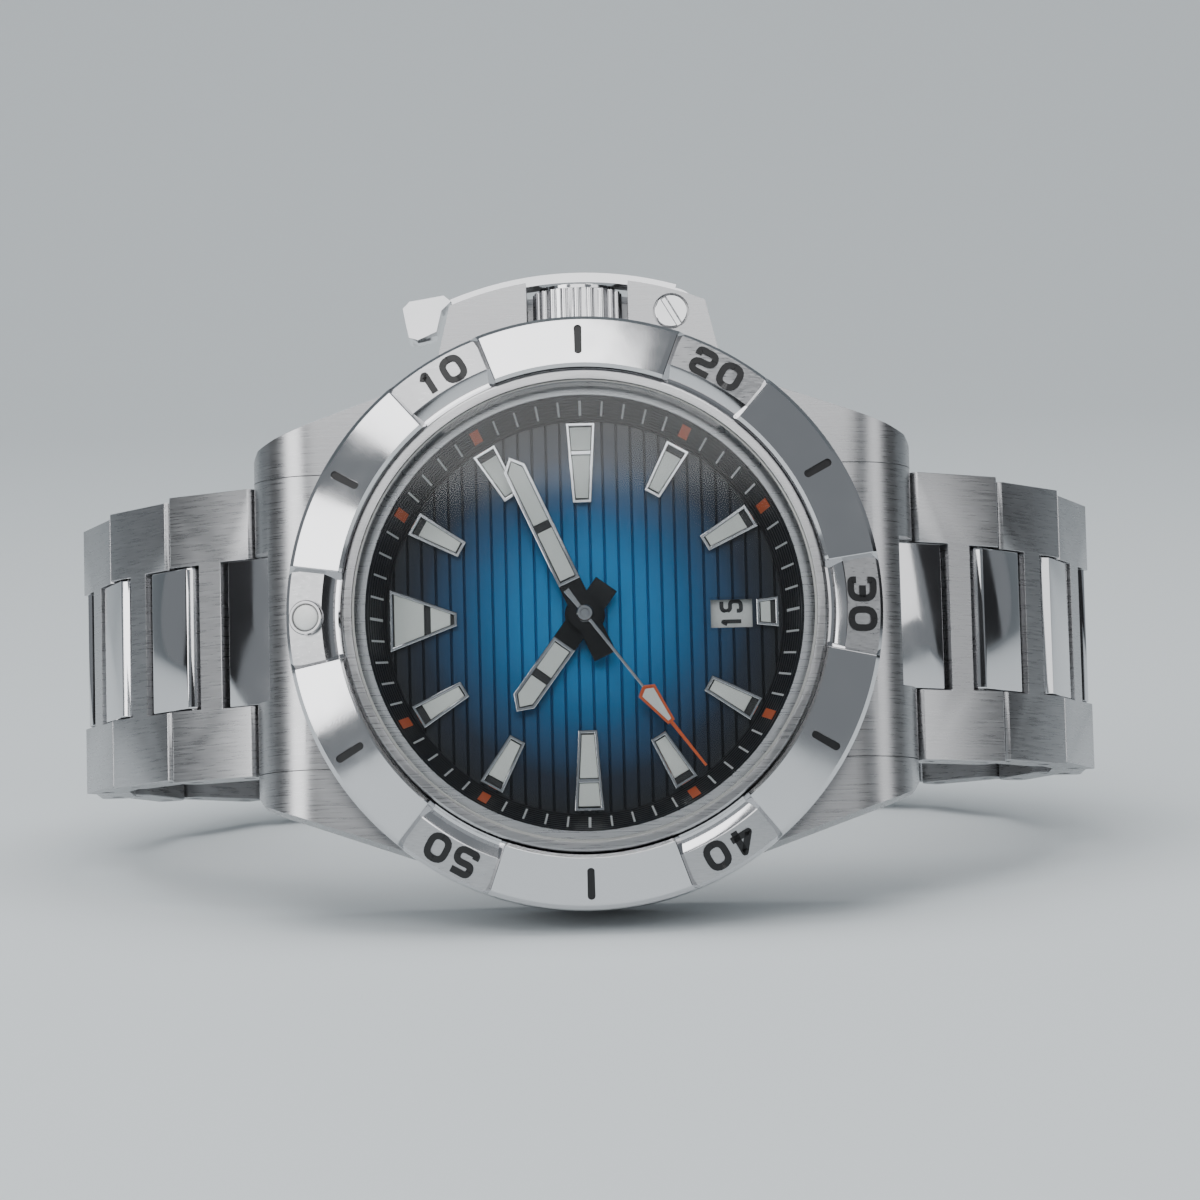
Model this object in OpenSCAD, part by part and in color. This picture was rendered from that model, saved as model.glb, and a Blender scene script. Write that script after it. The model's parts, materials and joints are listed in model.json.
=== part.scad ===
// Steel diver's wristwatch with a locking crown lever, lying on its nine o'clock side.
// Pieces are drawn in the watch's own directions: X towards three o'clock and the crown,
// Y towards twelve o'clock, Z out of the dial, with Z = 0 on the dial's face.
// stand() then turns and drops the whole watch on to the surface it lies on.

/* [Case] */
// Radius of the round case body
case_r = 21.5; // [21.2:0.1:25.8]
// Thickness of the case body below the dial
case_depth = 6.0; // [5.9:0.1:7.5]
// Width between the lugs
lug_w = 22.0; // [18.3:0.1:24]
// Distance that the lug tips reach beyond the round body
lug_out = 3.2; // [2.8:0.1:4.2]
// Width of each lug at its tip
lug_t = 2.7; // [2:0.1:3.4]
// Depth of the lug tips below the dial
lug_drop = 6.6; // [6:0.1:8]
// Width of the case wall round the movement
case_wall = 5.05; // [4.6:0.01:5.6]
// Width of the step between the case's rear edge and the case back's rim
back_step = 2.9; // [2:0.1:3.5]
// Thickness of the case back's rim
back_t = 1.6; // [1:0.1:2.5]

/* [Bezel and crystal] */
// Overhang of the rotating bezel beyond the round body
bezel_over = 0.5; // [0.4:0.1:2]
// Width of the bezel from its bore to its edge
bezel_w = 4.05; // [3.9:0.01:4.2]
// Height of the bezel's underside above the dial
bezel_low = 1.35; // [1.3:0.01:1.6]
// Height of the bezel's raised segments at their inner edge
bezel_top = 5.45; // [5.2:0.05:6.5]
// Depth of the number plates below the raised segments
plate_drop = 0.65; // [0.3:0.05:0.9]
// Angle that each raised segment spans
segment_angle = 40; // [34:1:46]
// Width of the neck between the crystal and the bezel's bore
neck_w = 1.05; // [1.0:0.01:1.3]
// Thickness of the crystal
crystal_t = 2.45; // [1.8:0.05:3]
// Height of the crystal's underside above the dial
crystal_low = 3.45; // [3.4:0.05:3.6]

/* [Dial and hands] */
// Width of the rim of the case that covers the dial's edge
dial_edge = 0.55; // [0.4:0.05:1.2]
// Thickness of the dial
dial_t = 0.4; // [0.3:0.05:0.5]
// Width of the chapter ring over the dial's edge
chapter_w = 1.2; // [1:0.05:1.4]
// Length of an hour marker
marker_l = 4.1; // [3:0.1:4.9]
// Height of the hour markers
marker_h = 0.75; // [0.4:0.05:0.9]
// Length of the hour hand
hour_hand_l = 8.8; // [6:0.1:10.5]
// Length of the minute hand
minute_hand_l = 13.0; // [9:0.1:14.2]
// Length of the seconds hand
seconds_hand_l = 14.4; // [11:0.1:14.5]

/* [Crown and guard] */
// Radius of the crown
crown_r = 3.35; // [2.8:0.05:4]
// Length of the crown
crown_l = 3.4; // [2.8:0.1:4.1]
// Depth of the crown's axis below the dial
crown_z = 2.6; // [2.5:0.05:2.7]
// Distance that the crown guard reaches beyond the round body
guard_out = 3.9; // [3.8:0.1:5]
// Half width of the crown guard
guard_half = 10.4; // [10.2:0.1:11.5]
// Room between the crown and each leg of the guard
guard_room = 0.45; // [0.3:0.05:0.7]
// Thickness of the lever's arm
lever_t = 0.75; // [0.6:0.05:1]
// Travel of the crown when it is pulled out
crown_pull = 2.0; // [1:0.1:2.2]

/* [Bracelet] */
// Distance from one link joint to the next
pitch = 8.0; // [7.6:0.1:9.6]
// Room between the first link and the lugs, on both sides together
link_room = 0.2; // [0.1:0.05:0.6]
// How much narrower each link is than the one before it
link_taper = 0.5; // [0.2:0.05:0.6]
// Thickness of the links
link_t = 2.8; // [2.4:0.05:3.3]
// Width of the first centre link
centre_w = 11.0; // [9:0.1:11.4]
// Distance between a centre link's two pins
centre_span = 3.0; // [2.95:0.05:3.2]
// Radius of the link pins
pin_r = 0.5; // [0.4:0.05:0.6]

/* [Clasp] */
// How much narrower the clasp's cover is than the space between the lugs
clasp_less = 2.5; // [1.5:0.1:3.5]
// Radius of the clasp's curve at the link pins
clasp_r = 60; // [50:1:72]
// Thickness of the clasp's cover
cover_t = 1.0; // [0.8:0.05:1.1]
// Thickness of the clasp's blades
blade_t = 0.85; // [0.7:0.05:0.9]

/* [Fits] */
// Gap between fixed neighbours that are assembled by hand
seat_gap = 0.02; // [0.01:0.01:0.04]
// Radial clearance of a pin or shaft that turns in its bore
run_gap = 0.04; // [0.02:0.01:0.08]
// Side clearance between pieces that turn past each other
side_gap = 0.1; // [0.05:0.01:0.15]

/* [Hidden] */
$fn = 64;

STEEL = [0.72, 0.73, 0.74];
BRIGHT = [0.86, 0.87, 0.88];
DARK = [0.10, 0.10, 0.12];
BLUE = [0.05, 0.40, 0.62];
LUME = [0.86, 0.88, 0.84];
ORANGE = [0.95, 0.35, 0.08];
BRASS = [0.80, 0.66, 0.32];
NYLON = [0.90, 0.90, 0.86];
BLUED = [0.15, 0.20, 0.45];
GLASS = [0.80, 0.90, 1.00, 0.35];

// ---- sizes that follow from the ones above ----
case_bore_r = case_r - case_wall;
lug_reach = case_r + lug_out;
lug_tip_half = lug_w / 2 + lug_t;
back_r = case_r - back_step;
bezel_r = case_r + bezel_over;
bezel_bore_r = bezel_r - bezel_w;
crystal_r = bezel_bore_r - neck_w;
dial_r = case_bore_r - dial_edge;
chapter_r = dial_r - chapter_w;
guard_r = case_r + guard_out;
guard_gap = 2 * (crown_r + guard_room);
link_w = lug_w - link_room;
clasp_w = lug_w - clasp_less;

// Small overlap that joins solids which meet face to face, and reach of a through cut.
weld = 0.05;
through = 1;

// ---- the bracelet's joints, in the plane of Y and Z ----
link_dir = [32, 50, 68, 90, 114, 138, 156];
hinge_y = lug_reach - 1.7;
hinge_z = -4.8;
end_r = link_t / 2;
face_gap = 1.5;
open_gap = 1.7;
H_SPAN = pitch - centre_span;

function joint_y(k) = k == 0 ? hinge_y : joint_y(k - 1) + pitch * cos(link_dir[k - 1]);
function joint_z(k) = k == 0 ? hinge_z : joint_z(k - 1) - pitch * sin(link_dir[k - 1]);

// ---- bezel levels ----
bezel_fall = 1.15;
bezel_edge_z = bezel_top - bezel_fall;
plate_in_r = bezel_bore_r + 1.25;
slope_r = bezel_bore_r + 0.35;
stroke_far = bezel_r - 1.9;
pearl_far = bezel_r - 1.25;
click_out_r = bezel_r - 2.1;
click_in_r = bezel_bore_r + 0.85;

// ---- levels inside the case, downwards from the dial ----
plate_top = -1.7;
plate_low = -2.3;
date_z = -0.9;
date_t = 0.2;
bridge_top = -4.5;
bridge_t = 0.45;
move_r = 13.7;
holder_low = -5.6;

// ---- gear train: tooth counts, modules and places ----
barrel_teeth = 72;
centre_pinion_teeth = 12;
barrel_m = 0.15;
centre_teeth = 80;
third_pinion_teeth = 10;
centre_m = 0.08;
third_teeth = 75;
fourth_pinion_teeth = 10;
third_far = centre_m * (centre_teeth + third_pinion_teeth) / 2;
third_m = 2 * third_far / (third_teeth + fourth_pinion_teeth);
fourth_teeth = 72;
escape_pinion_teeth = 8;
fourth_m = 0.09;
cannon_teeth = 12;
minute_wheel_teeth = 36;
motion_m = 0.125;
minute_pinion_teeth = 10;
hour_wheel_teeth = 40;
motion_far = motion_m * (cannon_teeth + minute_wheel_teeth) / 2;
hour_m = 2 * motion_far / (minute_pinion_teeth + hour_wheel_teeth);
barrel_far = barrel_m * (barrel_teeth + centre_pinion_teeth) / 2;
escape_far = fourth_m * (fourth_teeth + escape_pinion_teeth) / 2;
barrel_at = 215;
third_at = 350;
escape_at = 90;
minute_wheel_at = 290;
escape_r = 2.3;
pallet_far = escape_far + 2.95;
balance_far = pallet_far + 2.65;
balance_r = 3.45;
balance_z = -4.1;
cock_foot_far = 11.6;
cock_turn = 38;

// ---- the time shown, as angles clockwise from twelve ----
minute_angle = 65.7;
hour_angle = 306.4;
seconds_angle = 233;
marker_out = chapter_r - 0.2;
date_in = 9.35;
date_l = 3.1;
date_w = 2.1;

// ---- hands: heights above the dial, and the pipes they sit on ----
hour_z = 1.3;
minute_z = 1.95;
seconds_z = 2.6;
pipe_r = 0.95;
cannon_r = 0.62;
post_r = 0.3;

// ---- spring bars between the lugs ----
bar_y = lug_reach - 2.2;
bar_z = -1.7;
bar_r = 0.65;
bar_tip_r = 0.45;

// ---- crown guard, lever and crown ----
guard_screw_y = 8.3;
guard_screw_z = -4.7;
guard_screw_head = case_r - 6.1;
guard_screw_end = case_r - 0.15;
crown_in = case_r + 0.2;
setting_x = 10.2;
guard_top = 1.0;
guard_low = -6.7;
pivot_y = -(guard_gap / 2 + 3.2);
ear_r = 2.2;
pivot_x = sqrt(pow(case_r + ear_r + 0.08, 2) - pivot_y * pivot_y);
lever_z = -2.6;
lever_h = 2.6;
lever_in = guard_r + 0.08;
lever_out = lever_in + lever_t;
tab_y = guard_half - 0.4;
tab_at = atan2(tab_y, lever_in);
ear_at = atan2(pivot_y - 0.6, lever_in);

// ---- clasp ----
clasp_half = clasp_w / 2;
clasp_pin_y = joint_y(7);
clasp_pin_z = joint_z(7);
clasp_mid_z = clasp_pin_z + sqrt(clasp_r * clasp_r - clasp_pin_y * clasp_pin_y);
cover_out_r = clasp_r + link_t / 2 - 0.1;
cover_in_r = cover_out_r - cover_t;
wall_t = 0.85;
outer_blade_r = cover_in_r - 0.3;
inner_blade_r = outer_blade_r - blade_t - 0.75;
hinge1_at = 16.4;
hinge1_r = outer_blade_r - 0.8;
hinge2_at = -17.6;
hinge2_r = outer_blade_r - 1.1;
barrel_out = 1.0;
hinge_pin_r = 0.45;
clasp_pin_at = asin(clasp_pin_y / clasp_r);
cover_end_at = clasp_pin_at - 2.4;
flap_hinge_at = 6.5;
flap_knuckle_r = 0.75;
flap_hinge_r = cover_out_r + 0.65;
flap_out_r = cover_out_r + 0.85;

// ---- the way the watch lies ----
side_edge = 0.6;
rest_case_z = -case_depth + side_edge;
rest_clasp_z = clasp_mid_z - cover_out_r;
lean = atan((case_r - clasp_half) / (rest_case_z - rest_clasp_z));
rest_height = case_r * cos(lean) - rest_case_z * sin(lean);
front_reach = bezel_edge_z * cos(lean) + bezel_r * sin(lean);
back_reach = ((flap_hinge_r + flap_knuckle_r) * cos(flap_hinge_at) - clasp_mid_z) * cos(lean)
    + (clasp_half - 1.2) * sin(lean);
depth_shift = (front_reach - back_reach) / 2;

// ---------------------------------------------------------------- helpers

// Turns and drops the watch so that the case's rear edge and the clasp's edge touch Z = 0.
module stand() {
    translate([0, depth_shift, rest_height])
        rotate([90 - lean, 0, 0])
            rotate([0, 0, 90])
                children();
}

// A plan shape in Y and Z, given a width along X.
module across(width) {
    rotate([90, 0, 90])
        linear_extrude(width, center = true)
            children();
}

// A cylinder along X through (y, z), from x0 to x1.
module rod_x(r, x0, x1, y, z) {
    translate([x0, y, z])
        rotate([0, 90, 0])
            cylinder(r = r, h = x1 - x0);
}

// A flat ring from z0 to z1.
module ring(r_out, r_in, z0, z1) {
    translate([0, 0, z0])
        difference() {
            cylinder(r = r_out, h = z1 - z0);
            translate([0, 0, -through])
                cylinder(r = r_in, h = z1 - z0 + 2 * through);
        }
}

module disc(r, z0, z1) {
    translate([0, 0, z0])
        cylinder(r = r, h = z1 - z0);
}

// Places children at a distance and angle from the dial's centre.
module polar(far, at) {
    rotate([0, 0, at])
        translate([far, 0, 0])
            children();
}

// Places children at an angle clockwise from twelve, pointing outwards along Y.
module clock(angle) {
    rotate([0, 0, -angle])
        children();
}

// Outline of a gear whose tooth 0 points along X: straight-sided, narrow teeth.
module gear_2d(teeth, m, add = 0.85, ded = 1.3) {
    half_tip = 0.09;
    half_root = 0.22;
    corners = [[-half_root, -ded], [-half_tip, add], [half_tip, add], [half_root, -ded]];
    polygon([for (i = [0:teeth - 1], c = corners)
        let (r = m * (teeth / 2 + c[1]), a = 360 / teeth * (i + c[0]))
        [r * cos(a), r * sin(a)]]);
}

// A spoked wheel: a toothed rim, four arms and a hub.
module spoked_wheel(teeth, m, z0, z1, arm = 0.35) {
    rim = m * (teeth / 2 - 1.3) - 0.35;
    translate([0, 0, z0])
        linear_extrude(z1 - z0) {
            difference() {
                gear_2d(teeth, m);
                circle(r = rim);
            }
            intersection() {
                circle(r = rim + weld);
                for (a = [0, 90])
                    rotate(a)
                        square([2 * rim + 1, arm], center = true);
            }
            circle(r = 0.6);
        }
}

// ---------------------------------------------------------------- case

// Outline of the case seen from the front: a disc with two lugs at each end.
module case_plan() {
    horn_y = 12.2;
    horn_x = sqrt(case_r * case_r - horn_y * horn_y);
    corner = 1.1;
    circle(r = case_r);
    for (sx = [-1, 1], sy = [-1, 1])
        scale([sx, sy])
            polygon([[lug_w / 2, horn_y], [horn_x, horn_y],
                [lug_tip_half + 0.25, lug_reach - corner - 0.7],
                [lug_tip_half - 0.35, lug_reach - 0.45],
                [lug_tip_half - corner, lug_reach], [lug_w / 2, lug_reach]]);
}

// Side outline of a lug: level at the bezel, then curving down to a blunt tip.
module lug_side(low) {
    curve_r = 5.1;
    mid_y = lug_reach - curve_r;
    mid_z = bezel_low - 0.15 - curve_r;
    polygon(concat([[10, low], [10, mid_z + curve_r]],
        [for (a = [90:-7.5:0]) [mid_y + curve_r * cos(a), mid_z + curve_r * sin(a)]],
        [[lug_reach, low + 0.9], [lug_reach - 0.9, low]]));
}

module mid_case() {
    neck_r = bezel_bore_r - 0.13;
    bore_low = case_depth + through;
    color(STEEL)
        difference() {
            union() {
                // round body with a bevelled rear edge
                rotate_extrude()
                    polygon([[case_bore_r - 2, -case_depth], [case_r - 1, -case_depth],
                        [case_r, rest_case_z], [case_r, bezel_low - 0.15],
                        [case_bore_r - 2, bezel_low - 0.15]]);
                // neck that carries the bezel and the crystal
                rotate_extrude()
                    polygon([[case_bore_r - 0.3, bezel_low - 0.2], [neck_r, bezel_low - 0.2],
                        [neck_r, bezel_top - 0.35], [neck_r - 0.15, bezel_top - 0.2],
                        [case_bore_r - 0.3, bezel_top - 0.2]]);
                // lugs
                for (s = [0, 180])
                    rotate([0, 0, s])
                        intersection() {
                            translate([0, 0, -lug_drop - 1])
                                linear_extrude(lug_drop + 4)
                                    case_plan();
                            difference() {
                                across(60)
                                    lug_side(-lug_drop);
                                translate([-lug_w / 2, 0, -lug_drop - 1])
                                    cube([lug_w, 40, 20]);
                            }
                        }
            }
            // bore for the movement, step for the dial side and seat of the crystal
            disc(case_bore_r, -case_depth - 2, crystal_low - 0.3);
            disc(case_bore_r - 0.25, 0, bezel_top + 1);
            disc(crystal_r + 0.22, crystal_low, bezel_top + 1);
            // room for the case back between the lugs
            disc(back_r + 0.1, -lug_drop - back_t - 2, -case_depth);
            // crown tube hole
            rod_x(1.2 + seat_gap, case_bore_r - 1, case_r + 1, 0, -crown_z);
            // spring bar holes in the lugs
            for (s = [-1, 1])
                rod_x(bar_tip_r + seat_gap, -lug_w / 2 - 1.2, lug_w / 2 + 1.2, s * bar_y, bar_z);
            // screws of the crown guard, put in from the bore
            for (s = [-1, 1])
                rod_x(0.6 + seat_gap, 10, case_r + 1, s * guard_screw_y, guard_screw_z);
            for (s = [-1, 1])
                rod_x(1.1 + seat_gap, 10, guard_screw_head + 1.2, s * guard_screw_y, guard_screw_z);
        }
}

module case_back() {
    plug_r = case_bore_r - 0.05;
    color(BRIGHT)
        difference() {
            union() {
                rotate_extrude()
                    polygon([[0, -case_depth - 0.15], [plug_r, -case_depth - 0.15],
                        [plug_r, -case_depth - seat_gap],
                        [back_r, -case_depth - seat_gap], [back_r, -case_depth - back_t + 0.7],
                        [back_r - 1.4, -case_depth - back_t], [0, -case_depth - back_t]]);
                ring(plug_r, plug_r - 1, -case_depth - 0.2, -case_depth + 0.3);
            }
            // gasket groove under the rim
            ring(back_r - 0.5, back_r - 1.3, -case_depth - 0.4, -case_depth + through);
            // six slots for the opening key
            for (i = [0:5])
                polar(back_r - 0.6, 60 * i + 30)
                    translate([0, 0, -case_depth - back_t])
                        cube([1.6, 2.2, 1.3], center = true);
        }
}

module case_back_gasket() {
    color(DARK)
        ring(back_r - 0.5 - seat_gap, back_r - 1.3 + seat_gap,
            -case_depth - 0.4 + seat_gap, -case_depth - seat_gap);
}

// ---------------------------------------------------------------- bezel and crystal

module bezel() {
    inner_z = bezel_top - plate_drop;
    color(BRIGHT)
        difference() {
            union() {
                // ring at the level of the number plates
                rotate_extrude()
                    polygon([[bezel_bore_r, bezel_low], [bezel_r - 0.3, bezel_low],
                        [bezel_r, bezel_low + 0.3], [bezel_r, bezel_edge_z - plate_drop],
                        [plate_in_r, inner_z - 0.45], [slope_r, inner_z + 0.15],
                        [bezel_bore_r, inner_z + 0.15]]);
                // six raised segments
                for (i = [0:5])
                    rotate([0, 0, 60 * i - segment_angle / 2])
                        rotate_extrude(angle = segment_angle)
                            polygon([[bezel_bore_r + 0.05, bezel_low + 1],
                                [bezel_r - 0.05, bezel_low + 1], [bezel_r - 0.02, bezel_edge_z - 0.35],
                                [bezel_r - 0.4, bezel_edge_z], [bezel_bore_r + 0.3, bezel_top],
                                [bezel_bore_r + 0.05, bezel_top - 0.25]]);
            }
            // engraved minute strokes
            for (i = [0:5])
                rotate([0, 0, 60 * i])
                    translate([stroke_far, 0, bezel_top - 0.3])
                        rotate([0, 16, 0])
                            cube([2.4, 0.6, 1], center = true);
            // recess for the luminous pip
            clock(0)
                translate([0, pearl_far, bezel_edge_z - plate_drop - 0.2])
                    cylinder(r = 1.05 + seat_gap, h = 4);
            // room for the click spring
            ring(click_out_r + 0.5, click_in_r - 0.5, bezel_low - through, bezel_low + 0.7);
            // grip notches in the rim under the plates
            for (i = [0:5])
                polar(bezel_r + 0.55, 60 * i + 30)
                    disc(1.0, bezel_low - through, bezel_edge_z - plate_drop - 1.1);
        }
}

module bezel_pearl() {
    color(LUME)
        translate([0, pearl_far, bezel_edge_z - plate_drop - 0.2 + seat_gap]) {
            cylinder(r = 1.05, h = 0.35);
            translate([0, 0, 0.3])
                intersection() {
                    translate([0, 0, -0.9])
                        sphere(r = 1.3);
                    cylinder(r = 0.95, h = 2);
                }
        }
}

module bezel_click_spring() {
    color(BRASS) {
        difference() {
            ring(click_out_r, click_in_r, bezel_low - 0.13, bezel_low + 0.02);
            rotate([0, 0, 200])
                translate([click_in_r, 0, 0])
                    cube([5, 1.6, 6], center = true);
        }
        // two fingers that click under the bezel
        for (a = [60, 150])
            polar((click_out_r + click_in_r) / 2, a)
                translate([0, 0, bezel_low + 0.15])
                    cube([0.7, 1.6, 0.4], center = true);
    }
}

module crystal() {
    edge = 0.45;
    color(GLASS)
        rotate_extrude()
            polygon([[0, crystal_low + seat_gap], [crystal_r, crystal_low + seat_gap],
                [crystal_r, crystal_low + crystal_t - edge],
                [crystal_r - edge, crystal_low + crystal_t], [0, crystal_low + crystal_t]]);
}

module crystal_gasket() {
    color(NYLON)
        ring(crystal_r + 0.22 - seat_gap, crystal_r + seat_gap,
            crystal_low + seat_gap, bezel_top - 0.5);
}

// ---------------------------------------------------------------- dial side

module chapter_ring() {
    top_z = crystal_low - 0.4;
    out_r = case_bore_r - 0.05;
    color(DARK)
        rotate_extrude()
            polygon([[chapter_r, seat_gap], [out_r, seat_gap], [out_r, top_z],
                [out_r - 0.25, top_z], [chapter_r + 0.05, 0.35], [chapter_r, 0.3]]);
}

module dial() {
    color(BLUE)
        difference() {
            disc(dial_r, -dial_t, 0);
            disc(1.15, -1, 1);
            translate([-date_w / 2, -date_in - date_l, -1])
                cube([date_w, date_l, 2]);
        }
}

// A marker that tapers towards the centre, standing on the dial with its outer end at far.
module marker(far, long, wide, narrow) {
    translate([0, 0, seat_gap])
        linear_extrude(marker_h)
            polygon([[-narrow / 2, far - long], [narrow / 2, far - long],
                [wide / 2, far], [-wide / 2, far]]);
}

module hour_markers() {
    color(BRIGHT) {
        for (h = [1, 2, 4, 5, 7, 8, 10, 11])
            clock(30 * h)
                marker(marker_out, marker_l, 1.9, 1.3);
        for (h = [3, 9])
            clock(30 * h)
                marker(marker_out, marker_l + 1.9, 2.2, 1.4);
        clock(0)
            marker(marker_out, 5.0, 4.7, 1.0);
        clock(180)
            marker(marker_out - 0.1, marker_out - 0.1 - date_in - date_l - 0.2, 2.3, 2.0);
    }
}

module date_ring() {
    teeth = 31;
    in_r = 8.75;
    color(NYLON)
        translate([0, 0, date_z])
            linear_extrude(date_t)
                difference() {
                    circle(r = 12.9);
                    polygon([for (i = [0:teeth - 1], c = [[-0.2, 0], [-0.12, 0.35], [0.12, 0.35], [0.2, 0]])
                        let (a = 360 / teeth * (i + c[0]), r = in_r + c[1])
                        [r * cos(a), r * sin(a)]]);
                }
}

// A sword hand pointing along Y, with a wedge tip and a short square tail.
module hand_blade(length, tail, wide, z0, thick, hub, hole) {
    tip = 0.95;
    translate([0, 0, z0])
        linear_extrude(thick)
            difference() {
                union() {
                    polygon([[-wide / 2, -tail], [wide / 2, -tail], [wide / 2, length - tip],
                        [0, length], [-wide / 2, length - tip]]);
                    circle(r = hub);
                }
                circle(r = hole);
            }
}

module hour_hand() {
    color(BRIGHT)
        clock(hour_angle)
            hand_blade(hour_hand_l, 2.8, 1.9, hour_z, 0.3, 1.5, pipe_r);
}

module minute_hand() {
    color(BRIGHT)
        clock(minute_angle)
            hand_blade(minute_hand_l, 3.5, 1.75, minute_z, 0.28, 1.3, cannon_r);
}

module seconds_hand() {
    lume_in = 7.0;
    lume_out = 10.3;
    color(ORANGE)
        clock(seconds_angle) {
            translate([0, 0, seconds_z])
                linear_extrude(0.16) {
                    polygon([[-0.28, -2.2], [0.28, -2.2], [0.14, 0], [0.12, lume_in],
                        [0.75, lume_in + 0.3], [0.3, lume_out], [0.14, lume_out + 0.2],
                        [0.1, seconds_hand_l], [-0.1, seconds_hand_l], [-0.14, lume_out + 0.2],
                        [-0.3, lume_out], [-0.75, lume_in + 0.3], [-0.12, lume_in], [-0.14, 0]]);
                    circle(r = 0.6);
                }
            ring(0.55, 0.2 + seat_gap, seconds_z - 0.3, seconds_z + weld);
            disc(0.42, seconds_z + 0.1, seconds_z + 0.4);
        }
}

// ---------------------------------------------------------------- crown, guard and lever

module crown() {
    flutes = 20;
    color(BRIGHT)
        translate([crown_in, 0, -crown_z])
            rotate([0, 90, 0])
                difference() {
                    union() {
                        cylinder(r = crown_r - 0.25, h = crown_l - 0.3);
                        linear_extrude(crown_l - 0.35)
                            for (i = [0:flutes - 1])
                                rotate(360 / flutes * i)
                                    translate([crown_r - 0.32, 0])
                                        circle(r = 0.32);
                        translate([0, 0, crown_l - 0.3 - weld])
                            cylinder(r = crown_r - 0.5, h = 0.3 + weld);
                    }
                    translate([0, 0, -through])
                        cylinder(r = 1.6, h = crown_l - 1.2 + through);
                    // socket that turns on the stem's end
                    cylinder(r = 0.5 + run_gap, h = crown_l - 0.4);
                }
}

module crown_tube() {
    color(STEEL)
        difference() {
            rod_x(1.2, case_bore_r + 0.3, crown_in + 1.6, 0, -crown_z);
            rod_x(0.62, case_bore_r - 1, crown_in + 3, 0, -crown_z);
        }
}

module winding_stem() {
    color(STEEL) {
        rod_x(0.5, 8.6, crown_in + crown_l - 0.45, 0, -crown_z);
        // two shoulders with the setting lever's groove between them
        rod_x(0.8, 8.9, setting_x - 0.4, 0, -crown_z);
        rod_x(0.8, setting_x + 0.4, 11.2, 0, -crown_z);
    }
}

// Fork that sits in the stem's groove and travels with it.
module setting_lever() {
    color(STEEL)
        difference() {
            translate([setting_x - 0.3, -1.1, -4.2])
                cube([0.6, 2.2, 1.85]);
            rod_x(0.5 + run_gap, setting_x - 1, setting_x + 1, 0, -crown_z);
        }
}

// Guard seen from the front: an arch whose legs hold the crown between them.
module guard_plan() {
    shoulder = 4.3;
    intersection() {
        difference() {
            circle(r = guard_r);
            circle(r = case_r + seat_gap);
        }
        polygon([[case_r - 4, -guard_half - 0.6], [case_r + shoulder, -guard_half + 1.4],
            [case_r + shoulder, guard_half - 1.4], [case_r - 4, guard_half + 0.6]]);
    }
}

module crown_guard() {
    bridge = 0.6;
    color(STEEL)
        difference() {
            translate([0, 0, guard_low])
                linear_extrude(guard_top - guard_low)
                    guard_plan();
            // opening for the crown, down to the bridge that joins the two legs
            translate([case_r - 5, -guard_gap / 2, guard_low + bridge])
                cube([12, guard_gap, 12]);
            // slot for the lever's ear
            translate([pivot_x, pivot_y, lever_z - lever_h / 2 - side_gap])
                cylinder(r = ear_r + side_gap, h = lever_h + 2 * side_gap);
            translate([pivot_x, pivot_y - ear_r - side_gap, lever_z - lever_h / 2 - side_gap])
                cube([8, ear_r + side_gap + 4, lever_h + 2 * side_gap]);
            // pivot screw: shank and counterbored head
            translate([pivot_x, pivot_y, guard_low - through])
                cylinder(r = 0.7 + seat_gap, h = 9);
            translate([pivot_x, pivot_y, guard_top - 0.5])
                cylinder(r = 1.35, h = 2);
            // tapped holes for the two screws from inside the case
            for (s = [-1, 1])
                rod_x(0.6 + seat_gap, case_r - 5, guard_screw_end + 0.15, s * guard_screw_y, guard_screw_z);
        }
}

module guard_screws() {
    head_t = 1.1;
    color(STEEL)
        for (s = [-1, 1])
            difference() {
                union() {
                    rod_x(0.6, guard_screw_head, guard_screw_end, s * guard_screw_y, guard_screw_z);
                    rod_x(1.1, guard_screw_head, guard_screw_head + head_t,
                        s * guard_screw_y, guard_screw_z);
                }
                // driver slot
                translate([guard_screw_head, s * guard_screw_y, guard_screw_z])
                    cube([0.9, 0.4, 4], center = true);
            }
}

// Lever seen from the front: a curved arm from the ear to past the tab.
module lever_plan() {
    tip = [lever_in * cos(tab_at), lever_in * sin(tab_at)];
    foot = [lever_in * cos(ear_at), lever_in * sin(ear_at)];
    intersection() {
        difference() {
            circle(r = lever_out);
            circle(r = lever_in);
        }
        polygon([[0, 0], foot * 1.3, [40, 0], tip * 1.3]);
    }
    translate([pivot_x, pivot_y])
        circle(r = ear_r);
    // web between the ear and the arm
    polygon([[pivot_x, pivot_y - 0.8], [lever_in - 1.0, pivot_y - 0.7], [lever_in + 0.1, pivot_y + 1.4],
        [lever_in - 0.7, pivot_y + 2.4], [pivot_x + 1.0, pivot_y + 1.9]]);
}

module lock_lever() {
    tab_h = 3.8;
    color(BRIGHT)
        difference() {
            union() {
                translate([0, 0, lever_z - lever_h / 2])
                    linear_extrude(lever_h)
                        lever_plan();
                // neck and thumb tab
                translate([0, 0, lever_z - tab_h / 2])
                    linear_extrude(tab_h)
                        polygon([[lever_in - 2.0, tab_y + 0.2], [lever_out - 2.05, tab_y - 0.55],
                            [lever_out - 1.6, tab_y], [lever_out - 2.0, tab_y + 2.6],
                            [lever_out - 2.5, tab_y + 3.1], [lever_in - 4.0, tab_y + 2.7],
                            [lever_in - 4.2, tab_y + 2.0], [lever_in - 3.6, tab_y + 0.6]]);
            }
            translate([pivot_x, pivot_y, lever_z - lever_h])
                cylinder(r = 0.7 + run_gap, h = 2 * lever_h);
        }
}

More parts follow.
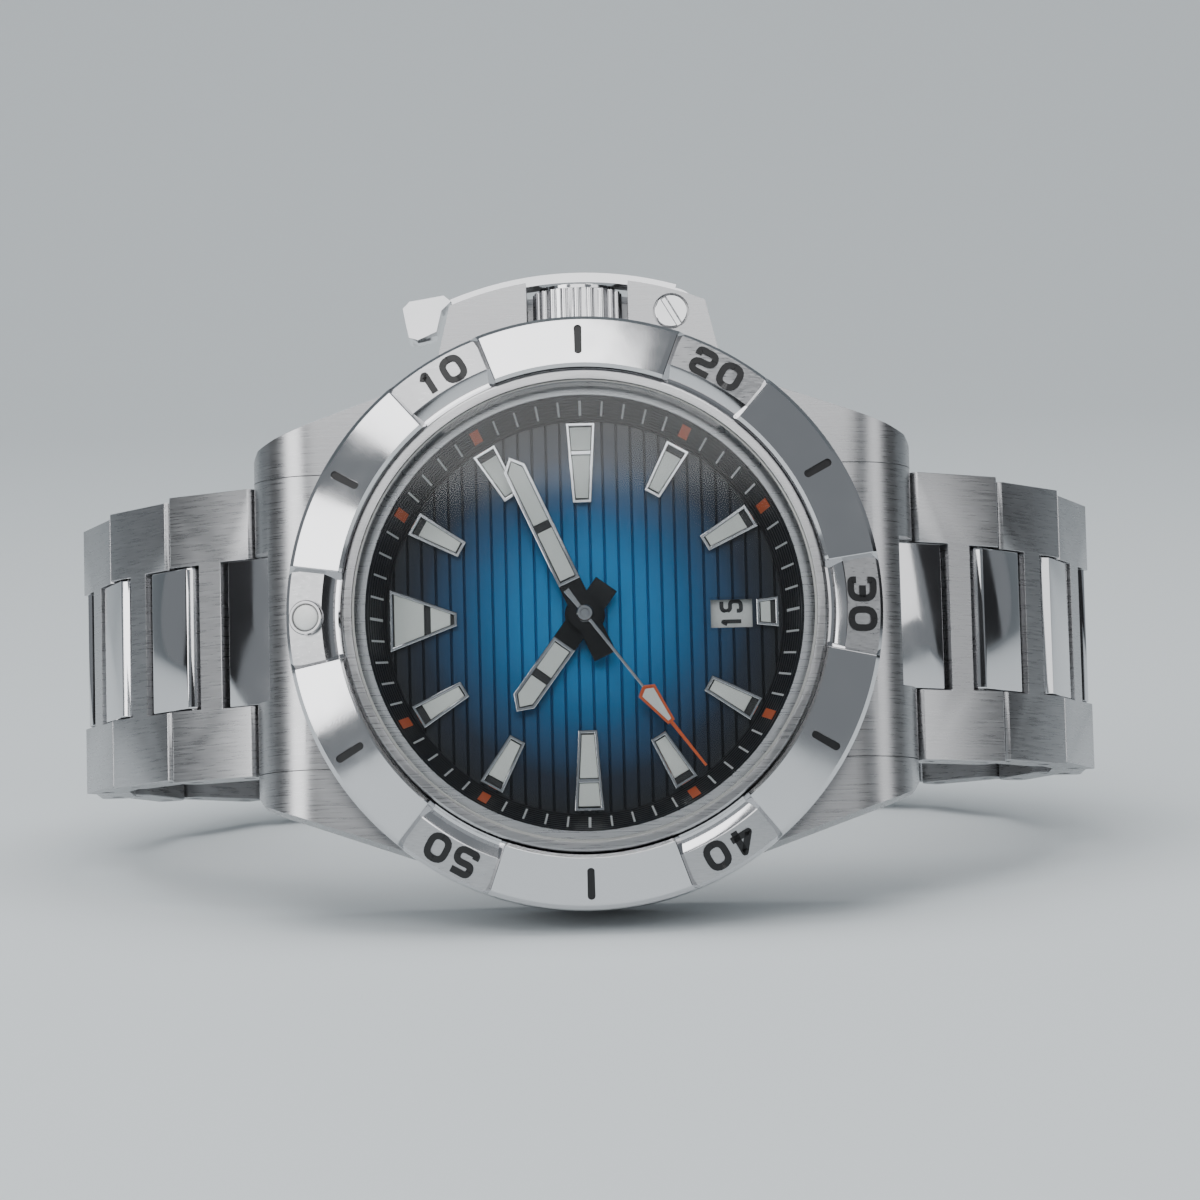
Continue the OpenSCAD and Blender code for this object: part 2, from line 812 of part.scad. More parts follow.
module lever_pivot_screw() {
    color(BRIGHT)
        translate([pivot_x, pivot_y, 0])
            difference() {
                union() {
                    disc(0.7, guard_low + 0.4, guard_top - 0.4);
                    disc(1.2, guard_top - 0.5 + seat_gap, guard_top + 0.1);
                }
                rotate([0, 0, 30])
                    translate([0, 0, guard_top + 0.1])
                        cube([4, 0.4, 0.7], center = true);
            }
}

// ---------------------------------------------------------------- movement

module movement_holder() {
    color(NYLON)
        difference() {
            ring(case_bore_r - 0.3, move_r + 0.05, holder_low, -dial_t - seat_gap);
            // way through for the winding stem
            translate([12, -1, -crown_z - 1])
                cube([case_bore_r - 12, 2, 2]);
        }
}

module mainplate() {
    well_r = 8.5;
    color(STEEL)
        difference() {
            union() {
                disc(move_r, plate_low, -dial_t - seat_gap);
                ring(move_r, move_r - 0.9, -5.0, plate_low + weld);
                // pillars that carry the train bridge
                for (a = [35, 160, 285])
                    polar(11.6, a)
                        disc(1.0, bridge_top + seat_gap, plate_low + weld);
                polar(11.2, 262)
                    disc(0.9, bridge_top + seat_gap, plate_low + weld);
                // foot of the balance cock
                polar(cock_foot_far, escape_at + cock_turn)
                    disc(0.85, -4.95 + seat_gap, plate_low + weld);
            }
            // bed of the date ring and well of the motion work
            ring(13.05, 8.4, date_z - 0.1, 1);
            disc(well_r, plate_top, 1);
            disc(0.95, plate_low - 1, plate_top + 1);
            // pivot holes
            for (p = [[barrel_far, barrel_at], [third_far, third_at], [escape_far, escape_at],
                [pallet_far, escape_at], [balance_far, escape_at]])
                polar(p[0], p[1])
                    disc(0.22, plate_low - 1, 1);
            // bed of the winding stem
            rod_x(1.0, 8.0, move_r + 1, 0, -crown_z);
        }
}

module arbor(z0, z1, r = 0.18) {
    disc(r, z0, z1);
}

module barrel() {
    drum_r = barrel_m * (barrel_teeth / 2 - 1.3);
    color(BRASS)
        polar(barrel_far, barrel_at) {
            rotate([0, 0, 180]) {
                translate([0, 0, -3.12])
                    linear_extrude(0.32)
                        gear_2d(barrel_teeth, barrel_m);
                disc(drum_r - 0.1, -3.95, -2.8);
            }
            arbor(-4.85, -2.0);
            disc(0.9, -4.2, -3.9);
        }
}

module centre_wheel() {
    color(BRASS)
        difference() {
            union() {
                rotate([0, 0, third_at])
                    spoked_wheel(centre_teeth, centre_m, -2.65, -2.45);
                rotate([0, 0, barrel_at + 180 / centre_pinion_teeth])
                    translate([0, 0, -3.15])
                        linear_extrude(0.55)
                            gear_2d(centre_pinion_teeth, barrel_m);
                disc(0.48, -3.2, -1.25);
            }
            disc(post_r + 0.06, -6, 2);
        }
}

module third_wheel() {
    color(BRASS)
        polar(third_far, third_at) {
            rotate([0, 0, 180 + 180 / third_pinion_teeth])
                translate([0, 0, -2.75])
                    linear_extrude(0.38)
                        gear_2d(third_pinion_teeth, centre_m);
            rotate([0, 0, 180])
                spoked_wheel(third_teeth, third_m, -3.9, -3.7);
            arbor(-4.85, -2.0);
        }
}

module fourth_wheel() {
    color(BRASS) {
        rotate([0, 0, escape_at])
            spoked_wheel(fourth_teeth, fourth_m, -4.3, -4.12);
        rotate([0, 0, third_at + 180 / fourth_pinion_teeth])
            translate([0, 0, -4.0])
                linear_extrude(0.45)
                    gear_2d(fourth_pinion_teeth, third_m);
        // long arbor that carries the seconds hand through the cannon pinion
        disc(0.2, -4.85, seconds_z - seat_gap);
    }
}

module escape_wheel() {
    teeth = 15;
    color(STEEL)
        polar(escape_far, escape_at) {
            rotate([0, 0, 180 + 180 / escape_pinion_teeth])
                translate([0, 0, -4.35])
                    linear_extrude(0.45)
                        gear_2d(escape_pinion_teeth, fourth_m);
            translate([0, 0, -3.45])
                linear_extrude(0.2)
                    difference() {
                        polygon([for (i = [0:teeth - 1], c = [[-8, -0.55], [0, 0], [2.5, 0], [3, -0.55]])
                            let (a = 24 * i + c[0], r = escape_r + c[1])
                            [r * cos(a), r * sin(a)]]);
                        for (a = [0:90:270])
                            rotate(a + 45)
                                translate([1.05, 0])
                                    circle(r = 0.36);
                    }
            arbor(-4.85, -2.0);
        }
}

module pallet_fork() {
    color(STEEL)
        polar(pallet_far, escape_at) {
            translate([0, 0, -3.45])
                linear_extrude(0.2) {
                    circle(r = 0.45);
                    // arms with the two pallets
                    for (s = [-1, 1]) {
                        polygon([[-0.3, 0], [0.2, s * 0.2], [-0.3, s * 1.4], [-0.8, s * 1.6], [-0.7, s * 1.2]]);
                        polygon([[-1.0, s * 1.5], [-0.85, s * 1.3], [-0.45, s * 1.35], [-0.6, s * 1.7]]);
                    }
                    // lever with a forked end
                    difference() {
                        polygon([[0, -0.3], [1.6, -0.2], [2.0, -0.45], [2.0, 0.45], [1.6, 0.2], [0, 0.3]]);
                        translate([1.85, 0])
                            square([0.5, 0.36], center = true);
                    }
                }
            arbor(-3.7, -2.0);
        }
}

module balance_wheel() {
    color(BRASS)
        polar(balance_far, escape_at) {
            translate([0, 0, balance_z])
                linear_extrude(0.3) {
                    difference() {
                        circle(r = balance_r);
                        circle(r = balance_r - 0.5);
                    }
                    square([2 * balance_r - 0.6, 0.5], center = true);
                    square([0.5, 2 * balance_r - 0.6], center = true);
                }
            arbor(-5.0, -2.0);
            disc(0.42, -4.4, -3.0);
        }
}

module hairspring() {
    turns = 7;
    start_r = 0.75;
    step = 0.26;
    w = 0.07;
    steps = turns * 24;
    color(BLUED)
        polar(balance_far, escape_at)
            translate([0, 0, -4.62])
                linear_extrude(0.15) {
                    // the spiral's outer side, then its inner side back again
                    polygon(concat(
                        [for (i = [0:steps]) let (a = 15 * i, r = start_r + step * a / 360 + w / 2)
                            [r * cos(a), r * sin(a)]],
                        [for (i = [steps:-1:0]) let (a = 15 * i, r = start_r + step * a / 360 - w / 2)
                            [r * cos(a), r * sin(a)]]));
                    difference() {
                        circle(r = start_r + 0.02);
                        circle(r = 0.2);
                    }
                }
}

module train_bridge() {
    color(STEEL)
        difference() {
            union() {
                intersection() {
                    disc(move_r - 0.95, bridge_top - bridge_t, bridge_top);
                    // everything but the sector of the balance
                    difference() {
                        disc(move_r, -10, 10);
                        polar(balance_far, escape_at)
                            disc(balance_r + 0.5, -10, 10);
                    }
                }
                // post and bearing race that carry the rotor
                disc(1.6, -5.2, bridge_top - bridge_t + weld);
                disc(0.9, -5.95, -5.2 + weld);
            }
            // pivot holes
            for (p = [[barrel_far, barrel_at], [third_far, third_at], [escape_far, escape_at]])
                polar(p[0], p[1])
                    disc(0.22, -6, 1);
            disc(0.24, -5.0, 1);
            // cut-out that leaves the balance cock's foot clear
            polar(cock_foot_far, escape_at + cock_turn)
                disc(1.3, -10, 10);
            // the stem's end
            rod_x(1.0, 8.0, move_r + 1, 0, -crown_z);
        }
}

module balance_cock() {
    color(STEEL)
        difference() {
            translate([0, 0, -5.25])
                linear_extrude(0.3)
                    union() {
                        rotate(escape_at)
                            translate([balance_far, 0])
                                circle(r = 1.1);
                        rotate(escape_at + cock_turn)
                            translate([cock_foot_far, 0])
                                circle(r = 1.1);
                        cock_arm();
                    }
            polar(balance_far, escape_at)
                disc(0.22, -6, 1);
        }
}

// Straight arm from the cock's foot to the balance.
module cock_arm() {
    foot_at = escape_at + cock_turn;
    a = [balance_far * cos(escape_at), balance_far * sin(escape_at)];
    b = [cock_foot_far * cos(foot_at), cock_foot_far * sin(foot_at)];
    d = (b - a) / norm(b - a);
    n = [-d[1], d[0]] * 0.8;
    polygon([a - n, b - n, b + n, a + n]);
}

module rotor() {
    color(BRASS)
        difference() {
            union() {
                // half disc plate and its heavy rim
                intersection() {
                    disc(12.8, -5.75, -5.5);
                    translate([-14, -14, -10])
                        cube([14, 28, 20]);
                }
                intersection() {
                    ring(12.9, 11.0, -5.95, -5.35);
                    translate([-14, -14, -10])
                        cube([14, 28, 20]);
                }
                disc(1.7, -5.95, -5.4);
            }
            disc(0.9 + run_gap, -10, 10);
        }
}

module cannon_pinion() {
    color(STEEL)
        difference() {
            union() {
                rotate([0, 0, minute_wheel_at])
                    translate([0, 0, -1.6])
                        linear_extrude(0.35)
                            gear_2d(cannon_teeth, motion_m);
                disc(cannon_r - 0.02, -1.65, minute_z + 0.3);
            }
            // bore: it grips the centre wheel's pipe and clears the seconds arbor above
            disc(0.48 + seat_gap, -1.75 - weld, -1.2);
            disc(post_r + 0.02, -3, 4);
        }
}

module minute_wheel() {
    color(BRASS)
        polar(motion_far, minute_wheel_at) {
            rotate([0, 0, 180 + 180 / minute_wheel_teeth])
                spoked_wheel(minute_wheel_teeth, motion_m, -1.58, -1.38);
            translate([0, 0, -1.4])
                linear_extrude(0.55)
                    gear_2d(minute_pinion_teeth, hour_m);
        }
}

module hour_wheel() {
    color(BRASS)
        difference() {
            union() {
                rotate([0, 0, minute_wheel_at + 180 / hour_wheel_teeth])
                    translate([0, 0, -1.1])
                        linear_extrude(0.22)
                            gear_2d(hour_wheel_teeth, hour_m);
                disc(pipe_r - 0.02, -1.1, hour_z + 0.3);
            }
            disc(cannon_r + 0.03, -3, 4);
        }
}

// ---------------------------------------------------------------- bracelet

module lug_spring_bars() {
    color(STEEL)
        for (s = [-1, 1]) {
            rod_x(bar_r, -lug_w / 2 + 0.4, lug_w / 2 - 0.4, s * bar_y, bar_z);
            rod_x(bar_tip_r, -lug_w / 2 - 1.0, lug_w / 2 + 1.0, s * bar_y, bar_z);
        }
}

// The solid piece between the lugs, at twelve o'clock.
module end_link() {
    half = lug_w / 2 - 0.05;
    notch = centre_w / 2 + side_gap;
    low = -6.1;
    color(STEEL)
        difference() {
            union() {
                intersection() {
                    across(2 * half)
                        lug_side(low);
                    difference() {
                        translate([-half, case_r - 7.5, low - 1])
                            cube([2 * half, 12, 10]);
                        // it hugs the round case
                        disc(case_r + 0.05, low - 2, 8);
                        // below the hinge line it steps back for the first link
                        translate([-half - 1, hinge_y + 0.2, low - 2])
                            cube([2 * half + 2, 8, -low + 2 - 4.1]);
                    }
                }
                rod_x(end_r - 0.1, -half, half, hinge_y, hinge_z);
            }
            // pocket for the tail of the first centre link
            translate([-notch, hinge_y - face_gap, low - 1])
                cube([2 * notch, 8, hinge_z + 1.75 - low + 1]);
            // notch in the edge, through which the centre link comes out
            translate([-notch, lug_reach - 1.15, low - 1])
                cube([2 * notch, 8, 10]);
            rod_x(pin_r + 0.01, -half - 1, half + 1, hinge_y, hinge_z);
            rod_x(bar_r + seat_gap, -half - 1, half + 1, bar_y, bar_z);
        }
    color(STEEL)
        rod_x(pin_r, -half + 0.3, half - 0.3, hinge_y, hinge_z);
}

// Side outline of a link piece of the given length: crisp upper edges, round lower ones.
module link_side(span, r, bevel) {
    polygon(concat(
        [[-r + bevel, r], [-r, r - bevel]],
        [for (a = [180:15:270]) [r * cos(a), r * sin(a)]],
        [for (a = [270:15:360]) [span + r * cos(a), r * sin(a)]],
        [[span + r, r - bevel], [span + r - bevel, r]]));
}

// One link of the bracelet, drawn from its first joint along Y, outer face up.
// It is an H-shaped outer piece, a polished centre piece and their pins.
module link_piece(k, open_end) {
    half = (link_w - link_taper * (k - 1)) / 2;
    mid = centre_w / 2 - 0.1 * (k - 1);
    next_mid = centre_w / 2 - 0.1 * k;
    h_start = centre_span;
    h_end = pitch;
    far_gap = open_end ? open_gap : face_gap;
    color(STEEL)
        difference() {
            translate([0, h_start, 0])
                across(2 * half)
                    link_side(H_SPAN, end_r, 0.25);
            // notch for its own centre piece
            translate([-mid - 0.06, h_start - 4, -5])
                cube([2 * mid + 0.12, 4 + face_gap - 0.02, 10]);
            // notch for the next centre piece
            translate([-next_mid - side_gap, h_end - far_gap, -5])
                cube([2 * next_mid + 2 * side_gap, 6, 10]);
            rod_x(pin_r + 0.01, -half - 1, half + 1, h_start, 0);
            rod_x(pin_r + 0.01, -half - 1, half + 1, h_end, 0);
        }
    color(BRIGHT)
        difference() {
            across(2 * mid)
                link_side(centre_span, end_r - 0.1, 0.5);
            rod_x(pin_r + run_gap, -half - 1, half + 1, 0, 0);
            rod_x(pin_r + 0.01, -half - 1, half + 1, h_start, 0);
        }
    color(STEEL) {
        rod_x(pin_r, -half + 0.3, half - 0.3, h_start, 0);
        if (!open_end)
            rod_x(pin_r, -half + 0.3, half - 0.3, h_end, 0);
    }
}

// Places link k in the closed loop, on the twelve o'clock side.
module placed_link(k, open_end) {
    translate([0, joint_y(k - 1), joint_z(k - 1)])
        rotate([-link_dir[k - 1], 0, 0])
            link_piece(k, open_end);
}

module link_12(k) {
    placed_link(k, false);
}

module link_6(k) {
    rotate([0, 0, 180])
        placed_link(k, k == 7);
}

// ---------------------------------------------------------------- clasp

// A curved plate about the clasp's centre, from angle b0 to b1 (0 is the lowest point).
module arc_plate(r_in, r_out, b0, b1, x0, x1) {
    translate([x0, 0, clasp_mid_z])
        rotate([90, 0, 90])
            rotate([0, 0, b0 - 90])
                rotate_extrude(angle = b1 - b0)
                    translate([r_in, 0])
                        square([r_out - r_in, x1 - x0]);
}

module clasp_rod(r, at, far, x0, x1) {
    rod_x(r, x0, x1, far * sin(at), clasp_mid_z - far * cos(at));
}

module clasp_cover() {
    half = clasp_half;
    lug = centre_w / 2 - 0.1 * 7 - 0.02;
    wall_end = cover_end_at - 0.9;
    knuckle_at = half - 3.15;
    knuckle_w = half - wall_t - knuckle_at + weld;
    color(BRIGHT)
        difference() {
            union() {
                arc_plate(cover_in_r, cover_out_r, -cover_end_at, cover_end_at, -half, half);
                for (x = [-half, half - wall_t])
                    arc_plate(cover_in_r - 3.1, cover_in_r + weld, -wall_end, wall_end, x, x + wall_t);
                // knuckles that hold the outer blade's pin
                for (x = [-half + wall_t - weld, knuckle_at])
                    clasp_rod(barrel_out, hinge1_at, hinge1_r, x, x + knuckle_w);
                for (x = [-half + wall_t - weld, knuckle_at])
                    arc_plate(hinge1_r, cover_in_r + weld, hinge1_at - 0.5, hinge1_at + 0.5,
                        x, x + knuckle_w);
                // lug that meets the last link
                clasp_rod(end_r - 0.1, -clasp_pin_at, clasp_r, -lug, lug);
                arc_plate(cover_in_r, cover_out_r - 0.15, -clasp_pin_at, -cover_end_at + weld, -lug, lug);
                // knuckles of the safety flap
                for (x = [-7.6, 4.0])
                    clasp_rod(0.75, flap_hinge_at, flap_hinge_r, x, x + 3.6);
            }
            // pin bores
            clasp_rod(hinge_pin_r + run_gap, hinge1_at, hinge1_r, -half + 0.5, half - 0.5);
            clasp_rod(pin_r + 0.01, -clasp_pin_at, clasp_r, -half, half);
            clasp_rod(0.35 + run_gap, flap_hinge_at, flap_hinge_r, -8, 8);
            // hollow under the flap's own knuckle
            clasp_rod(0.95, flap_hinge_at, flap_hinge_r, -4.0 + weld, 4.0 - weld);
        }
    // spring bar of the last link, with its tips drawn in
    color(STEEL)
        clasp_rod(pin_r, -clasp_pin_at, clasp_r, -lug + 0.1, lug - 0.1);
}

module clasp_outer_blade() {
    half = clasp_half - wall_t - 0.35;
    cover_knuckle = clasp_half - 3.45;
    side_knuckle = half - 1.15;
    color(STEEL)
        difference() {
            union() {
                arc_plate(outer_blade_r - blade_t, outer_blade_r, hinge2_at + 0.2, hinge1_at - 1.5, -half, half);
                for (x = [-cover_knuckle, 3.7]) {
                    clasp_rod(barrel_out, hinge1_at, hinge1_r, x, x + cover_knuckle - 3.7);
                    arc_plate(outer_blade_r - blade_t, outer_blade_r, hinge1_at - 1.6, hinge1_at - 0.3,
                        x, x + cover_knuckle - 3.7);
                }
                for (x = [-side_knuckle, 3.7])
                    clasp_rod(barrel_out, hinge2_at, hinge2_r, x, x + side_knuckle - 3.7);
            }
            // window that lightens the blade, and room for the inner blade's knuckle
            arc_plate(outer_blade_r - 3, outer_blade_r + 1, -12, 11, -4.5, 4.5);
            arc_plate(outer_blade_r - 3, outer_blade_r + 1, hinge2_at - 1, hinge2_at + 1.4, -3.6, 3.6);
            clasp_rod(hinge_pin_r + 0.01, hinge1_at, hinge1_r, -9, 9);
            clasp_rod(hinge_pin_r + 0.01, hinge2_at, hinge2_r, -9, 9);
        }
    // the two hinge pins, pressed into this blade
    color(STEEL) {
        clasp_rod(hinge_pin_r, hinge1_at, hinge1_r, -clasp_half + 0.6, clasp_half - 0.6);
        clasp_rod(hinge_pin_r, hinge2_at, hinge2_r, 0.1 - side_knuckle, side_knuckle - 0.1);
    }
}

module clasp_inner_blade() {
    half = 3.2;
    lug = centre_w / 2 - 0.1 * 7 - 0.02;
    color(STEEL)
        difference() {
            union() {
                arc_plate(inner_blade_r - blade_t, inner_blade_r, hinge2_at + 0.3, clasp_pin_at + 0.2, -half, half);
                clasp_rod(barrel_out, hinge2_at, hinge2_r, -half - 0.1, half + 0.1);
                clasp_rod(end_r - 0.1, clasp_pin_at, clasp_r, -lug, lug);
                arc_plate(inner_blade_r - blade_t + 0.1, clasp_r - 0.3,
                    clasp_pin_at - 1.0, clasp_pin_at + 0.4,
                    -half + 0.15, half - 0.15);
            }
            clasp_rod(hinge_pin_r + run_gap, hinge2_at, hinge2_r, -9, 9);
            clasp_rod(pin_r + run_gap, clasp_pin_at, clasp_r, -9, 9);
            // window
            arc_plate(inner_blade_r - 3, inner_blade_r + 1, -11, 13, -1.9, 1.9);
        }
}

module safety_flap() {
    half = clasp_half - 0.75;
    color(BRIGHT) {
        difference() {
            union() {
                arc_plate(cover_out_r + 0.15, flap_out_r, flap_hinge_at + 1.0, cover_end_at - 0.9, -half, half);
                clasp_rod(0.75, flap_hinge_at, flap_hinge_r, -3.85, 3.85);
                arc_plate(cover_out_r + 0.15, flap_out_r, flap_hinge_at, flap_hinge_at + 1.1, -3.85, 3.85);
            }
            clasp_rod(0.35 + 0.01, flap_hinge_at, flap_hinge_r, -9, 9);
        }
        clasp_rod(0.35, flap_hinge_at, flap_hinge_r, -7.4, 7.4);
    }
}

// ---------------------------------------------------------------- nodes

stand() mid_case();
stand() case_back();
stand() case_back_gasket();
stand() bezel();
stand() bezel_pearl();
stand() bezel_click_spring();
stand() crystal();
stand() crystal_gasket();
stand() chapter_ring();
stand() dial();
stand() hour_markers();
stand() date_ring();
stand() hour_hand();
stand() minute_hand();
stand() seconds_hand();
stand() crown();
stand() crown_tube();
stand() winding_stem();
stand() crown_guard();
stand() guard_screws();
stand() lock_lever();
stand() lever_pivot_screw();
stand() movement_holder();
stand() mainplate();
stand() barrel();
stand() centre_wheel();
stand() third_wheel();
stand() fourth_wheel();
stand() escape_wheel();
stand() pallet_fork();
stand() balance_wheel();
stand() hairspring();
stand() train_bridge();
stand() balance_cock();
stand() rotor();
stand() cannon_pinion();
stand() minute_wheel();
stand() hour_wheel();
stand() setting_lever();
stand() lug_spring_bars();
stand() end_link();  // end_link_12
stand() rotate([0, 0, 180]) end_link();  // end_link_6
stand() link_12(1);  // link_12_1
stand() link_12(2);  // link_12_2
stand() link_12(3);  // link_12_3
stand() link_12(4);  // link_12_4
stand() link_12(5);  // link_12_5
stand() link_12(6);  // link_12_6
stand() link_12(7);  // link_12_7
stand() link_6(1);  // link_6_1
stand() link_6(2);  // link_6_2
stand() link_6(3);  // link_6_3
stand() link_6(4);  // link_6_4
stand() link_6(5);  // link_6_5
stand() link_6(6);  // link_6_6
stand() link_6(7);  // link_6_7
stand() clasp_cover();
stand() clasp_outer_blade();
stand() clasp_inner_blade();
stand() safety_flap();
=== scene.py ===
# %% [markdown]
# # A steel diver's wristwatch
# The watch's skeleton comes from the CAD frame, where every piece already has its exact size and place.
# This lesson dresses it: it models the visible pieces again with finer detail, gives every piece a
# finish with its own grain or polish, and sets up a soft studio to look at it in.

# %% Load the frame
import json
import math

import bmesh
import bpy
from mathutils import Matrix, Vector


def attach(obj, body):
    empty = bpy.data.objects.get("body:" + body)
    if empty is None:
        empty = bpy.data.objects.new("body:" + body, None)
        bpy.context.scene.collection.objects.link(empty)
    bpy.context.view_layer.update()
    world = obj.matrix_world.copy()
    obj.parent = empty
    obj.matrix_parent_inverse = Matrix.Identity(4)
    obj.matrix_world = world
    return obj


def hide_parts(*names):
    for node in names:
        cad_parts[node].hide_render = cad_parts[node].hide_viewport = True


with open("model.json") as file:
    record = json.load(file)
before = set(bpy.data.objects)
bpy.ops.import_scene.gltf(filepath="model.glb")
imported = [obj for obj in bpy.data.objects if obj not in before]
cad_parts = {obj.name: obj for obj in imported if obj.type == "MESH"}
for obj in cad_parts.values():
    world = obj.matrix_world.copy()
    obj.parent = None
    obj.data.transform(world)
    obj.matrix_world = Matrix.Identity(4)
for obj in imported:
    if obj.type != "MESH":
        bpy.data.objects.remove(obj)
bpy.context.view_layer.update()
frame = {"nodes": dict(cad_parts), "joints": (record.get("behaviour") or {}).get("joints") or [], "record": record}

nodes = frame["nodes"]

# %% [markdown]
# The watch lies on its nine o'clock side and leans back, so its own directions are turned in the frame.
# It is far easier to draw a dial or a bezel in the watch's own directions: x towards three o'clock,
# y towards twelve, z out of the dial, in millimetres. The joints know those directions, so a matrix
# built from them puts each finished mesh in its place.

# %% The watch's own directions
MM = 0.001
joints = {j["name"]: j for j in frame["joints"]}
out_of_dial = Vector(joints["bezel_turn"]["axis"])
to_three = Vector(joints["crown_pull"]["axis"])
to_twelve = out_of_dial.cross(to_three)
dial_centre = Vector(joints["bezel_turn"]["pos_m"])
turned = Matrix((to_three, to_twelve, out_of_dial)).transposed()
in_place = Matrix.Translation(dial_centre) @ turned.to_4x4() @ Matrix.Scale(MM, 4)
print(f"the dial leans back by {math.degrees(math.asin(out_of_dial.z)):.1f} degrees")


# %% [markdown]
# Materials read Object coordinates, which are the frame's. A Mapping node turned the other way round
# gives the pattern the watch's own millimetres, so a groove or a fade follows the dial, not the table.

# %% Finishes: helpers
def new_finish(name, color, metallic=0.0, roughness=0.4, **sockets):
    """A principled material, and the pieces of its node tree that the next steps use."""
    mat = bpy.data.materials.new(name)
    mat.use_nodes = True
    shader = mat.node_tree.nodes["Principled BSDF"]
    shader.inputs["Base Color"].default_value = (*color, 1)
    shader.inputs["Metallic"].default_value = metallic
    shader.inputs["Roughness"].default_value = roughness
    for socket, value in sockets.items():
        shader.inputs[socket.replace("_", " ")].default_value = value
    return mat, shader, mat.node_tree


def watch_millimetres(tree, stretch=(1, 1, 1)):
    """The watch's own coordinates in millimetres, times a stretch along each direction."""
    coords = tree.nodes.new("ShaderNodeTexCoord")
    back = turned.transposed()
    shift = back @ dial_centre
    place = tree.nodes.new("ShaderNodeMapping")
    place.inputs["Scale"].default_value = (1 / MM,) * 3
    place.inputs["Rotation"].default_value = back.to_euler()
    place.inputs["Location"].default_value = [-v / MM for v in shift]
    tree.links.new(coords.outputs["Object"], place.inputs["Vector"])
    widen = tree.nodes.new("ShaderNodeMapping")
    widen.inputs["Scale"].default_value = stretch
    tree.links.new(place.outputs["Vector"], widen.inputs["Vector"])
    return widen.outputs["Vector"]


def noise(tree, vector, scale, detail=4.0):
    node = tree.nodes.new("ShaderNodeTexNoise")
    node.inputs["Scale"].default_value = scale
    node.inputs["Detail"].default_value = detail
    tree.links.new(vector, node.inputs["Vector"])
    return node.outputs["Fac"]


def spread(tree, value, low, high):
    """The value's middle half, spread between low and high."""
    node = tree.nodes.new("ShaderNodeMapRange")
    node.inputs["From Min"].default_value = 0.3
    node.inputs["From Max"].default_value = 0.7
    node.inputs["To Min"].default_value = low
    node.inputs["To Max"].default_value = high
    tree.links.new(value, node.inputs["Value"])
    return node.outputs["Result"]


def ramp(tree, value, *stops):
    """A colour ramp with (position, colour) stops."""
    node = tree.nodes.new("ShaderNodeValToRGB")
    line = node.color_ramp
    while len(line.elements) < len(stops):
        line.elements.new(0.5)
    for element, (position, color) in zip(line.elements, stops):
        element.position = position
        element.color = (*color, 1)
    tree.links.new(value, node.inputs["Fac"])
    return node.outputs["Color"]


def relief(tree, shader, height, depth_mm, strength=1.0):
    """Small relief on the surface, as deep as depth_mm."""
    node = tree.nodes.new("ShaderNodeBump")
    node.inputs["Distance"].default_value = depth_mm * MM
    node.inputs["Strength"].default_value = strength
    tree.links.new(height, node.inputs["Height"])
    tree.links.new(node.outputs["Normal"], shader.inputs["Normal"])
    return node


# %% [markdown]
# ## Brushed and polished steel
# The real case is brushed: fine parallel scratches that spread the light across the grain. Noise that
# is stretched along one direction and very fine across it gives both the scratches' relief and the
# uneven gloss. The grain runs along the bracelet, which bends in y and z, so it is fine along x alone.
# The bezel's segments and the centre links are polished, with only faint haze and hairline marks.

# %% Finishes: steel
STEEL = (0.53, 0.53, 0.54)


def brushed_steel(name, stretch, shade=1.0, rough=(0.25, 0.34), depth=0.0012):
    mat, shader, tree = new_finish(name, [shade * c for c in STEEL], 1.0, 0.32)
    grain = noise(tree, watch_millimetres(tree, stretch), 1.0, 4.0)
    dark, light = ([part * shade * c for c in STEEL] for part in (0.86, 1.06))
    tone = ramp(tree, grain, (0.25, dark), (0.75, light))
    tree.links.new(tone, shader.inputs["Base Color"])
    tree.links.new(spread(tree, grain, *rough), shader.inputs["Roughness"])
    relief(tree, shader, grain, depth)
    return mat


def polished_steel(name, shade=1.0, rough=(0.05, 0.12)):
    mat, shader, tree = new_finish(name, [1.25 * shade * c for c in STEEL], 1.0, 0.07)
    haze = noise(tree, watch_millimetres(tree), 0.35, 5.0)
    tree.links.new(spread(tree, haze, *rough), shader.inputs["Roughness"])
    hair = noise(tree, watch_millimetres(tree, (0.3, 9, 3)), 1.2, 2.0)
    relief(tree, shader, hair, 0.0006, 0.6)
    return mat


brushed = brushed_steel("steel_brushed", (9, 0.25, 0.6), 0.95)
brushed_guard = brushed_steel("steel_brushed_guard", (9, 0.3, 2), 1.05)
brushed_blade = brushed_steel("steel_brushed_blades", (7, 0.3, 0.3), 0.88)
brushed_plate = brushed_steel("steel_brushed_plates", (8, 0.4, 8), 0.95, (0.26, 0.42))
polished = polished_steel("steel_polished")
blackened = polished_steel("steel_black_polish", 0.05, (0.08, 0.16))
# The pip's cup is polished steel painted darker than the bezel's: painted shade that makes it show as a ring round
# the pip.
cup_steel_painted_shade = polished_steel("steel_pip_cup_painted_shade", 0.45)
print("steel finishes:", brushed.name, brushed_guard.name, polished.name, blackened.name)

# %% [markdown]
# ## Dial colours
# The lacquer is bright blue in the middle and fades to black at the edge. The fade is only a function
# of the distance from the centre, so it is made from the length of the watch's x and y, through a ramp.

# %% Finishes: dial, rings and paint
def distance_from_centre(tree, reach):
    """0 in the middle and 1 at that many millimetres from the dial's centre."""
    flat = tree.nodes.new("ShaderNodeVectorMath")
    flat.operation = "MULTIPLY"
    flat.inputs[1].default_value = (1 / reach, 1 / reach, 0)
    tree.links.new(watch_millimetres(tree), flat.inputs[0])
    length = tree.nodes.new("ShaderNodeVectorMath")
    length.operation = "LENGTH"
    tree.links.new(flat.outputs["Vector"], length.inputs[0])
    return length.outputs["Value"]


